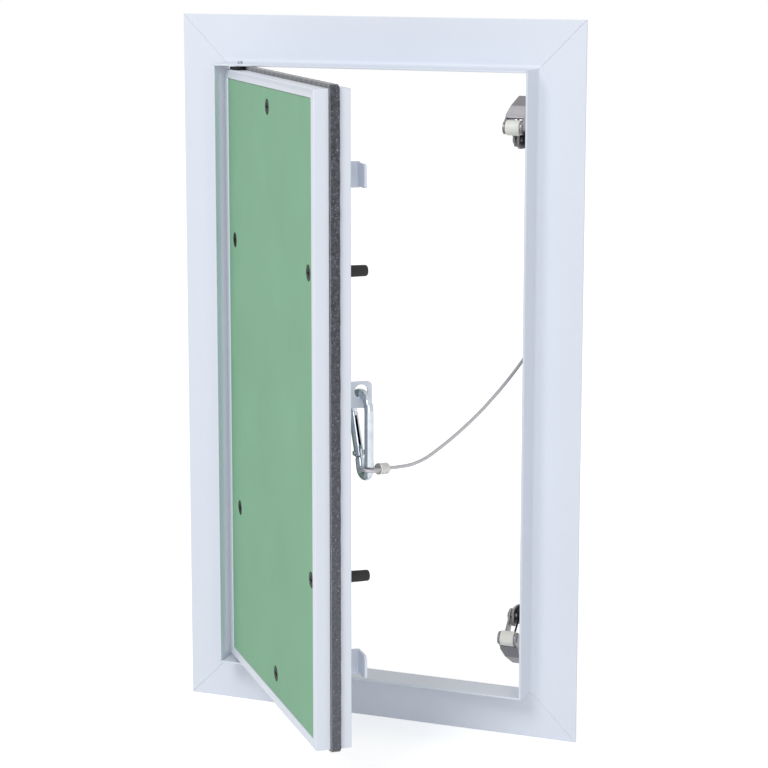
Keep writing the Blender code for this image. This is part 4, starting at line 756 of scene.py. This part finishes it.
# The wire runs from the nose over the top bend, down the spine and round the lower bend to the
# tang that the gate's rivet goes through.
sweep = float(np.linalg.norm(GATE_TIP - GATE_PIVOT))
low_centre = (TOP_R - LOW_R, LOW_Z)
tang_way = GATE_PIVOT - (low_centre[0] - LOW_R, LOW_Z)
tang_way /= np.linalg.norm(tang_way)
wire_line = np.concatenate([
    [(-TOP_R, -14.7), (-TOP_R, -12.0)], arc((0.0, -TOP_R), TOP_R, 180, 0, 40),
    np.stack([np.full(12, TOP_R), np.linspace(-11.5, -38.5, 12)], 1),
    arc(low_centre, LOW_R, 0, -180, 32),
    [GATE_PIVOT - tang_way * 3.9, GATE_PIVOT + tang_way * 2.0]])
points, faces = carried(np.insert(wire_line, 2, 0.0, 1), arc((0.0, 0.0), WIRE_R, 0, 360, 33)[:-1],
                        (0, 0, 1))
snap_hook = make_piece("snap_hook_wire", [(hung(points), faces, 0)], [zinc_plate], "snap_hook",
                       ["snap_hook"])

# The nose keeps a tongue 2 mm thick, and the tang is pressed 1.6 mm thin about the rivet.
TONGUE_HALF, TANG_HALF, TANG_R, CLEAR = 1.0, 0.8, 3.3, 5.0
flats = [revolved([(sign * TANG_HALF, 0.0), (sign * TANG_HALF, TANG_R), (sign * CLEAR, TANG_R),
                   (sign * CLEAR, 0.0)], (*GATE_PIVOT, 0.0), (0, 0, 1), 64) for sign in (1, -1)]
carve(snap_hook,
      ("DIFFERENCE", *ring_cut(sweep - 5.5, sweep + 0.3, TONGUE_HALF, CLEAR)),
      ("DIFFERENCE", *ring_cut(sweep - 5.5, sweep + 0.3, -CLEAR, -TONGUE_HALF)),
      *[("DIFFERENCE", hung(points), faces) for points, faces in flats],
      ("DIFFERENCE", *block(square(-TOP_R + 1.0, -16.7, -TOP_R + 5.0, -11.5), -WIRE_R, WIRE_R)))

# The gate is cut round at its swinging end, forked there for the tongue and at its foot for the
# tang, and a slot runs along its inner side between them.
gate_way = (GATE_TIP - GATE_PIVOT) / sweep
foot = GATE_PIVOT - gate_way * 2.2
gate_points, gate_faces = revolved(
    soft_line([(0.0, 0.0), (0.0, GATE_R), (GATE_LENGTH, GATE_R), (GATE_LENGTH, 0.0)],
              [0, 1.0, 0.1, 0], 4, False), (*foot, 0.0), (*gate_way, 0.0), 40)
gate = make_piece("snap_hook_gate", [(hung(gate_points), gate_faces, 0)], [zinc_plate],
                  "snap_gate", ["snap_gate"])
carve(gate,
      ("INTERSECT", *disc(GATE_PIVOT, sweep, 5.3, 128)),
      ("DIFFERENCE", *block(square(GATE_TIP[0] - 5.3, GATE_TIP[1] - 6.6, GATE_TIP[0] + 1.45,
                                   GATE_TIP[1] + 2), -1.3, 1.3)),
      ("DIFFERENCE", *disc(GATE_PIVOT, 4.3, 1.1)))
inner_way = np.array([gate_way[1], -gate_way[0]])
near, far = GATE_PIVOT + gate_way * 2.4, GATE_TIP - gate_way * 2.2
slot_loop = [near + inner_way * 3.5, near + inner_way * 0.2, far + inner_way * 0.2,
             far + inner_way * 3.5]
# The slot's walls are turned black: painted shade inside the slot.
carve(gate, ("DIFFERENCE", *block(slot_loop, -0.75, 0.75)), dark=True)

rivet_profile = soft_line(
    [(-3.45, 0.0), (-3.45, 1.45), (-2.95, 1.5), (-2.95, 0.9), (2.95, 0.9), (2.95, 1.5),
     (3.45, 1.45), (3.45, 0.0)], [0, 0.35, 0, 0, 0, 0, 0.35, 0], 5, False)
points, faces = revolved(rivet_profile, (*GATE_PIVOT, 0.0), (0, 0, 1), 32)
make_piece("gate_rivet", [(hung(points), faces, 0)], [zinc_plate], "snap_hook",
           ["snap_gate_rivet"])


# Latches
# Two sprung claws of folded stainless sheet on brackets behind the frame's right member.  Each
# carries a nylon roller on a riveted axle, and a black torsion spring on its pin pushes it open.
ROLLER_X, ROLLER_Y = 80.4, 6.9
LATCH_MID, ROLLER_OUT = 193.3, 150.9        # height between the latches, and each roller's from it

# Stainless sheet with a rolled finish: a warm grey with faint lines, coarser than the real ones so
# that they show.
stainless, tree, shader, spot = new_finish("rolled_stainless_sheet", "#A09DA0", 0.42, 1.0)
rolled = node(tree, "Mapping", {"Vector": spot, "Scale": (1 / (0.25 * MM), 1 / (0.25 * MM),
                                                          1 / (9 * MM))})
lines = node(tree, "TexNoise", {"Vector": rolled, "Scale": 1.0, "Detail": 2.0})
gloss = node(tree, "MapRange", {"Value": lines, "To Min": 0.36, "To Max": 0.54})
tint = node(tree, "Mix", {0: lines, 6: linear("#8E8B90"), 7: linear("#A3A0A2")}, data_type="RGBA")
bump = node(tree, "Bump", {"Height": lines, "Strength": 0.15, "Distance": 0.02 * MM})
joined(shader, tint=tint, gloss=gloss, bump=bump)

# Nylon 6, injection moulded: a waxy off-white that lets a little light in.
nylon, tree, shader, spot = new_finish("moulded_nylon", "#F0EEE8", 0.42)
shader.inputs["Subsurface Weight"].default_value = 0.15
shader.inputs["Subsurface Scale"].default_value = 1.0 * MM
scuff = node(tree, "TexNoise", {"Vector": spot, "Scale": 1 / (1.5 * MM), "Detail": 4.0})
gloss = node(tree, "MapRange", {"Value": scuff, "To Min": 0.36, "To Max": 0.52})
joined(shader, gloss=gloss)

roller_profile = soft_line([(-4.3, 1.5), (-4.3, 4.4), (4.3, 4.4), (4.3, 1.5), (-4.3, 1.5)],
                           [0, 0.8, 0.8, 0.2, 0], 5, False)
axle_profile = soft_line(
    [(-6.2, 0.0), (-6.2, 1.9), (-5.7, 2.1), (-5.7, 1.2), (5.7, 1.2), (5.7, 2.1), (6.2, 1.9),
     (6.2, 0.0)], [0, 0.35, 0, 0, 0, 0, 0.35, 0], 4, False)
for which, sign in (("upper", 1), ("lower", -1)):
    for part, width in (("bracket", 0.25), ("claw", 0.22), ("pin", 0.2)):
        softened(f"latch_{part}_{which}", stainless, width)
    middle = (ROLLER_X, ROLLER_Y, LATCH_MID + sign * ROLLER_OUT)
    points, faces = revolved(roller_profile, middle, (1, 0, 0), 56)
    make_piece(f"nylon_roller_{which}", [(points, faces, 0)], [nylon], f"roller_{which}",
               [f"latch_roller_{which}"])
    points, faces = revolved(axle_profile, middle, (1, 0, 0), 32)
    make_piece(f"roller_axle_{which}", [(points, faces, 0)], [stainless], f"claw_{which}",
               [f"latch_axle_{which}"])
    refinished(f"latch_spring_{which}", black_steel)


# Slot nuts and machine screws
# Zinc-plated nuts slide in the frame's channel; pan-head screws pull both latch brackets and the
# cable's lug on to them.
for name in ("latch_upper", "latch_lower", "cable_lug"):
    softened(f"{name}_slot_nut", zinc_plate)
    softened(f"{name}_screw", zinc_plate, 0.15)


# Cable
# Galvanised wire rope, 2 mm thick, of six strands laid round a seventh.  It sags from the lug on
# the frame to a pressed ferrule and an eye round the snap hook; its shown run is 139 mm long.
ROPE_R, ROPE_LAY = 1.0, 13.0
CABLE_ROUTE = np.array([                    # from the ferrule to the lug, in metres
    (0.04858, -0.10688, 0.16720), (0.05000, -0.10290, 0.16680), (0.05170, -0.09860, 0.16640),
    (0.05590, -0.08890, 0.16610), (0.06030, -0.07810, 0.16790), (0.06430, -0.06770, 0.17160),
    (0.06850, -0.05670, 0.17620), (0.07270, -0.04580, 0.18150), (0.07680, -0.03500, 0.18730),
    (0.08000, -0.02660, 0.19250), (0.08330, -0.01810, 0.19830), (0.08700, -0.00780, 0.20560),
    (0.08940, -0.00130, 0.21080), (0.09140, 0.00320, 0.21490), (0.09350, 0.00570, 0.21820),
    (0.09599, 0.00660, 0.22075)])


def through(points, step):
    """A smooth line through points, a step apart: from P1 to P2, with neighbours P0 and P3, it is
    0.5 (2 P1 + (P2-P0) t + (2 P0 - 5 P1 + 4 P2 - P3) t^2 + (3 P1 - P0 - 3 P2 + P3) t^3)."""
    padded = np.concatenate([points[:1], points, points[-1:]])
    p0, p1, p2, p3 = (padded[start:len(points) - 1 + start, None] for start in range(4))
    t = np.linspace(0, 1, 24, endpoint=False)[None, :, None]
    fine = 0.5 * (2 * p1 + (p2 - p0) * t + (2 * p0 - 5 * p1 + 4 * p2 - p3) * t ** 2
                  + (3 * p1 - p0 - 3 * p2 + p3) * t ** 3)
    fine = np.concatenate([fine.reshape(-1, 3), points[-1:]])
    run = np.concatenate([[0.0], np.cumsum(np.linalg.norm(np.diff(fine, axis=0), axis=1))])
    spots = np.linspace(0, run[-1], max(2, round(run[-1] / step) + 1))
    return np.stack([np.interp(spots, run, fine[:, column]) for column in range(3)], 1), spots


def rope_section(spots, sides=48):
    """Six strands round a middle one.  At angle a from a strand's middle, the outline lies at
    c cos a + sqrt(r^2 - c^2 sin^2 a), r = R / 3 and c = 2 R / 3, and it turns once in each lay."""
    angle = np.linspace(0, 2 * np.pi, sides, endpoint=False)[None] + 0 * spots[:, None]
    turned = (angle - 2 * np.pi * spots[:, None] / ROPE_LAY + np.pi / 6) % (np.pi / 3) - np.pi / 6
    c, r = ROPE_R * 2 / 3, ROPE_R / 3
    size = c * np.cos(turned) + np.sqrt(np.maximum(r ** 2 - (c * np.sin(turned)) ** 2, 0))
    return np.stack([size * np.cos(angle), size * np.sin(angle)], -1)


# Galvanised steel wire: a dull pale grey that the zinc makes uneven over a millimetre.  The
# strands are in the shape, and their single wires are too fine to show.
wire_rope, tree, shader, spot = new_finish("galvanised_wire_rope", "#B6B4B8", 0.42, 0.75)
grey = node(tree, "TexNoise", {"Vector": spot, "Scale": 1 / (0.8 * MM), "Detail": 3.0})
tint = node(tree, "Mix", {0: grey, 6: linear("#AEADB1"), 7: linear("#CFCED1")}, data_type="RGBA")
bump = node(tree, "Bump", {"Height": grey, "Strength": 0.4, "Distance": 0.06 * MM})
joined(shader, tint=tint, bump=bump)

line, spots = through(CABLE_ROUTE / MM, 0.7)
points, faces = carried(line, rope_section(spots), (0, 0, 1))
cable = make_piece("wire_rope", [(points, faces, 0)], [wire_rope], None, ["cable"])

# The eye: a loop round the hook's lower bend, whose two ends lie side by side in the ferrule.
LOOP_HEADING, LOOP_TILT, LOOP_R = math.radians(69.1), math.radians(6.0), 4.9
eye_middle = hung([(TOP_R, -40.6, 0.0)])[0]
ahead = np.array([math.cos(LOOP_HEADING) * math.cos(LOOP_TILT),
                  math.sin(LOOP_HEADING) * math.cos(LOOP_TILT), -math.sin(LOOP_TILT)])
beside = np.array([-math.sin(LOOP_HEADING), math.cos(LOOP_HEADING), 0.0])
bend = arc((0.0, 0.0), LOOP_R, 35, 325, 19)
strands = np.concatenate([[(9.0, 1.05)], bend, [(9.0, -1.05)]])     # (ahead, beside)
line, spots = through(eye_middle + strands[:, :1] * ahead + strands[:, 1:] * beside, 0.6)
points, faces = carried(line, rope_section(spots), np.cross(ahead, beside))
eye = make_piece("rope_eye", [(points, faces, 0)], [wire_rope], "leaf",
                 ["cable_eye"])

# The ferrule is an aluminium sleeve, pressed to a slight hexagon with two dents: a pale metal whose
# gloss was scuffed by the press.
FERRULE_R, FERRULE_LENGTH, FERRULE_START = 3.2, 7.0, 7.0
ferrule_metal, tree, shader, spot = new_finish("pressed_aluminium_sleeve", "#C9C7C4", 0.36, 0.9)
mark = node(tree, "TexNoise", {"Vector": spot, "Scale": 1 / (1.0 * MM), "Detail": 3.0})
gloss = node(tree, "MapRange", {"Value": mark, "To Min": 0.26, "To Max": 0.5})
joined(shader, gloss=gloss)


def pressed(along, radius, angle):
    """Two shallow rings of dents, where the press closed the sleeve."""
    dent = sum(np.exp(-((along - place) / 0.55) ** 2) for place in (2.3, 4.7))
    return 0.0, -0.28 * dent * (radius > 2.0) * (0.6 + 0.4 * np.cos(6 * angle))


ferrule_rows = soft_line([(0.0, 0.0), (0.0, FERRULE_R), (FERRULE_LENGTH, FERRULE_R),
                          (FERRULE_LENGTH, 0.0)], [0, 0.7, 0.7, 0], 5, False)
body_rows = [(along, FERRULE_R) for along in np.linspace(0.9, FERRULE_LENGTH - 0.9, 30)]
middle_row = len(ferrule_rows) // 2
ferrule_rows = np.concatenate([ferrule_rows[:middle_row], body_rows, ferrule_rows[middle_row:]])
points, faces = revolved(ferrule_rows, eye_middle + ahead * FERRULE_START, ahead, 48, pressed)
ferrule = make_piece("ferrule", [(points, faces, 0)], [ferrule_metal], "leaf")
lug = softened("cable_lug", zinc_plate, 0.2)
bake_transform(cable)


# Studio
# The panel stands on a plain pale floor before white.  A large soft lamp lights it from above in
# front, a larger one fills in from the right, and the surround is even.
FLOOR_HALF = 6.0      # metres


def direct_rays(tree):
    """1 for the camera's rays and for those in reflections and behind glass, 0 for all others."""
    path = node(tree, "LightPath")
    seen = node(tree, "Math", {0: path.outputs["Is Camera Ray"],
                               1: path.outputs["Is Glossy Ray"]}, operation="MAXIMUM")
    return node(tree, "Math", {0: seen, 1: path.outputs["Is Transmission Ray"]},
                operation="MAXIMUM")


# Floor paint: white, and bright to the camera and in reflections, but it still takes a shadow.
floor_paint, tree, shader, spot = new_finish("pale_floor", "#F2F2F2", 0.9)
glow = node(tree, "Emission", {"Strength": 0.5})
both = node(tree, "AddShader", {0: shader, 1: glow})
pick = node(tree, "MixShader", {0: direct_rays(tree), 1: shader, 2: both})
tree.links.new(pick.outputs["Shader"], tree.nodes["Material Output"].inputs["Surface"])
floor_mesh = bpy.data.meshes.new("floor")
floor_mesh.from_pydata([(x * FLOOR_HALF, y * FLOOR_HALF, FRAME_BOX[2] * MM)
                        for x, y in ((-1, -1), (1, -1), (1, 1), (-1, 1))], [], [(0, 1, 2, 3)])
floor_mesh.materials.append(floor_paint)
floor = placed("floor", floor_mesh)

# The surround: white where it is seen, and a dimmer, even light on the object.
world = bpy.data.worlds.new("surround")
world.use_nodes = True
bpy.context.scene.world = world
tree = world.node_tree
back = tree.nodes["Background"]
strength = node(tree, "MapRange", {"Value": direct_rays(tree), "To Min": 0.6, "To Max": 1.0})
back.inputs["Color"].default_value = (1.0, 1.0, 1.0, 1.0)
tree.links.new(strength.outputs["Result"], back.inputs["Strength"])


def soft_lamp(name, place, aim, size, power):
    """A square area lamp that looks at a point."""
    data = bpy.data.lights.new(name, "AREA")
    data.energy = power
    data.size = size
    lamp = placed(name, data)
    lamp.location = place
    lamp.rotation_euler = (Vector(aim) - Vector(place)).to_track_quat("-Z", "Y").to_euler()


soft_lamp("key_lamp", (-0.42, -2.7, 2.4), (0.0, 0.0, 0.2), 1.25, 38.0)
soft_lamp("fill_lamp", (1.5, -2.8, 0.9), (0.0, 0.0, 0.2), 2.0, 15.0)

# The photograph's camera was level, with a large shift.  This one looks 10 degrees down with a
# small one, because every other view keeps the shift and would lose the panel.
camera_data = bpy.data.cameras.new("camera")
camera_data.lens = 110.182
camera_data.sensor_width = 36.0
camera_data.shift_y = -0.04
camera_data.clip_start = 0.01
camera = placed("camera", camera_data)
camera.location = (0.51313, -1.26286, 0.45426)
camera.rotation_euler = (1.39314, -0.00118, 0.38365)
bpy.context.scene.camera = camera
bpy.context.scene.view_settings.view_transform = "Standard"
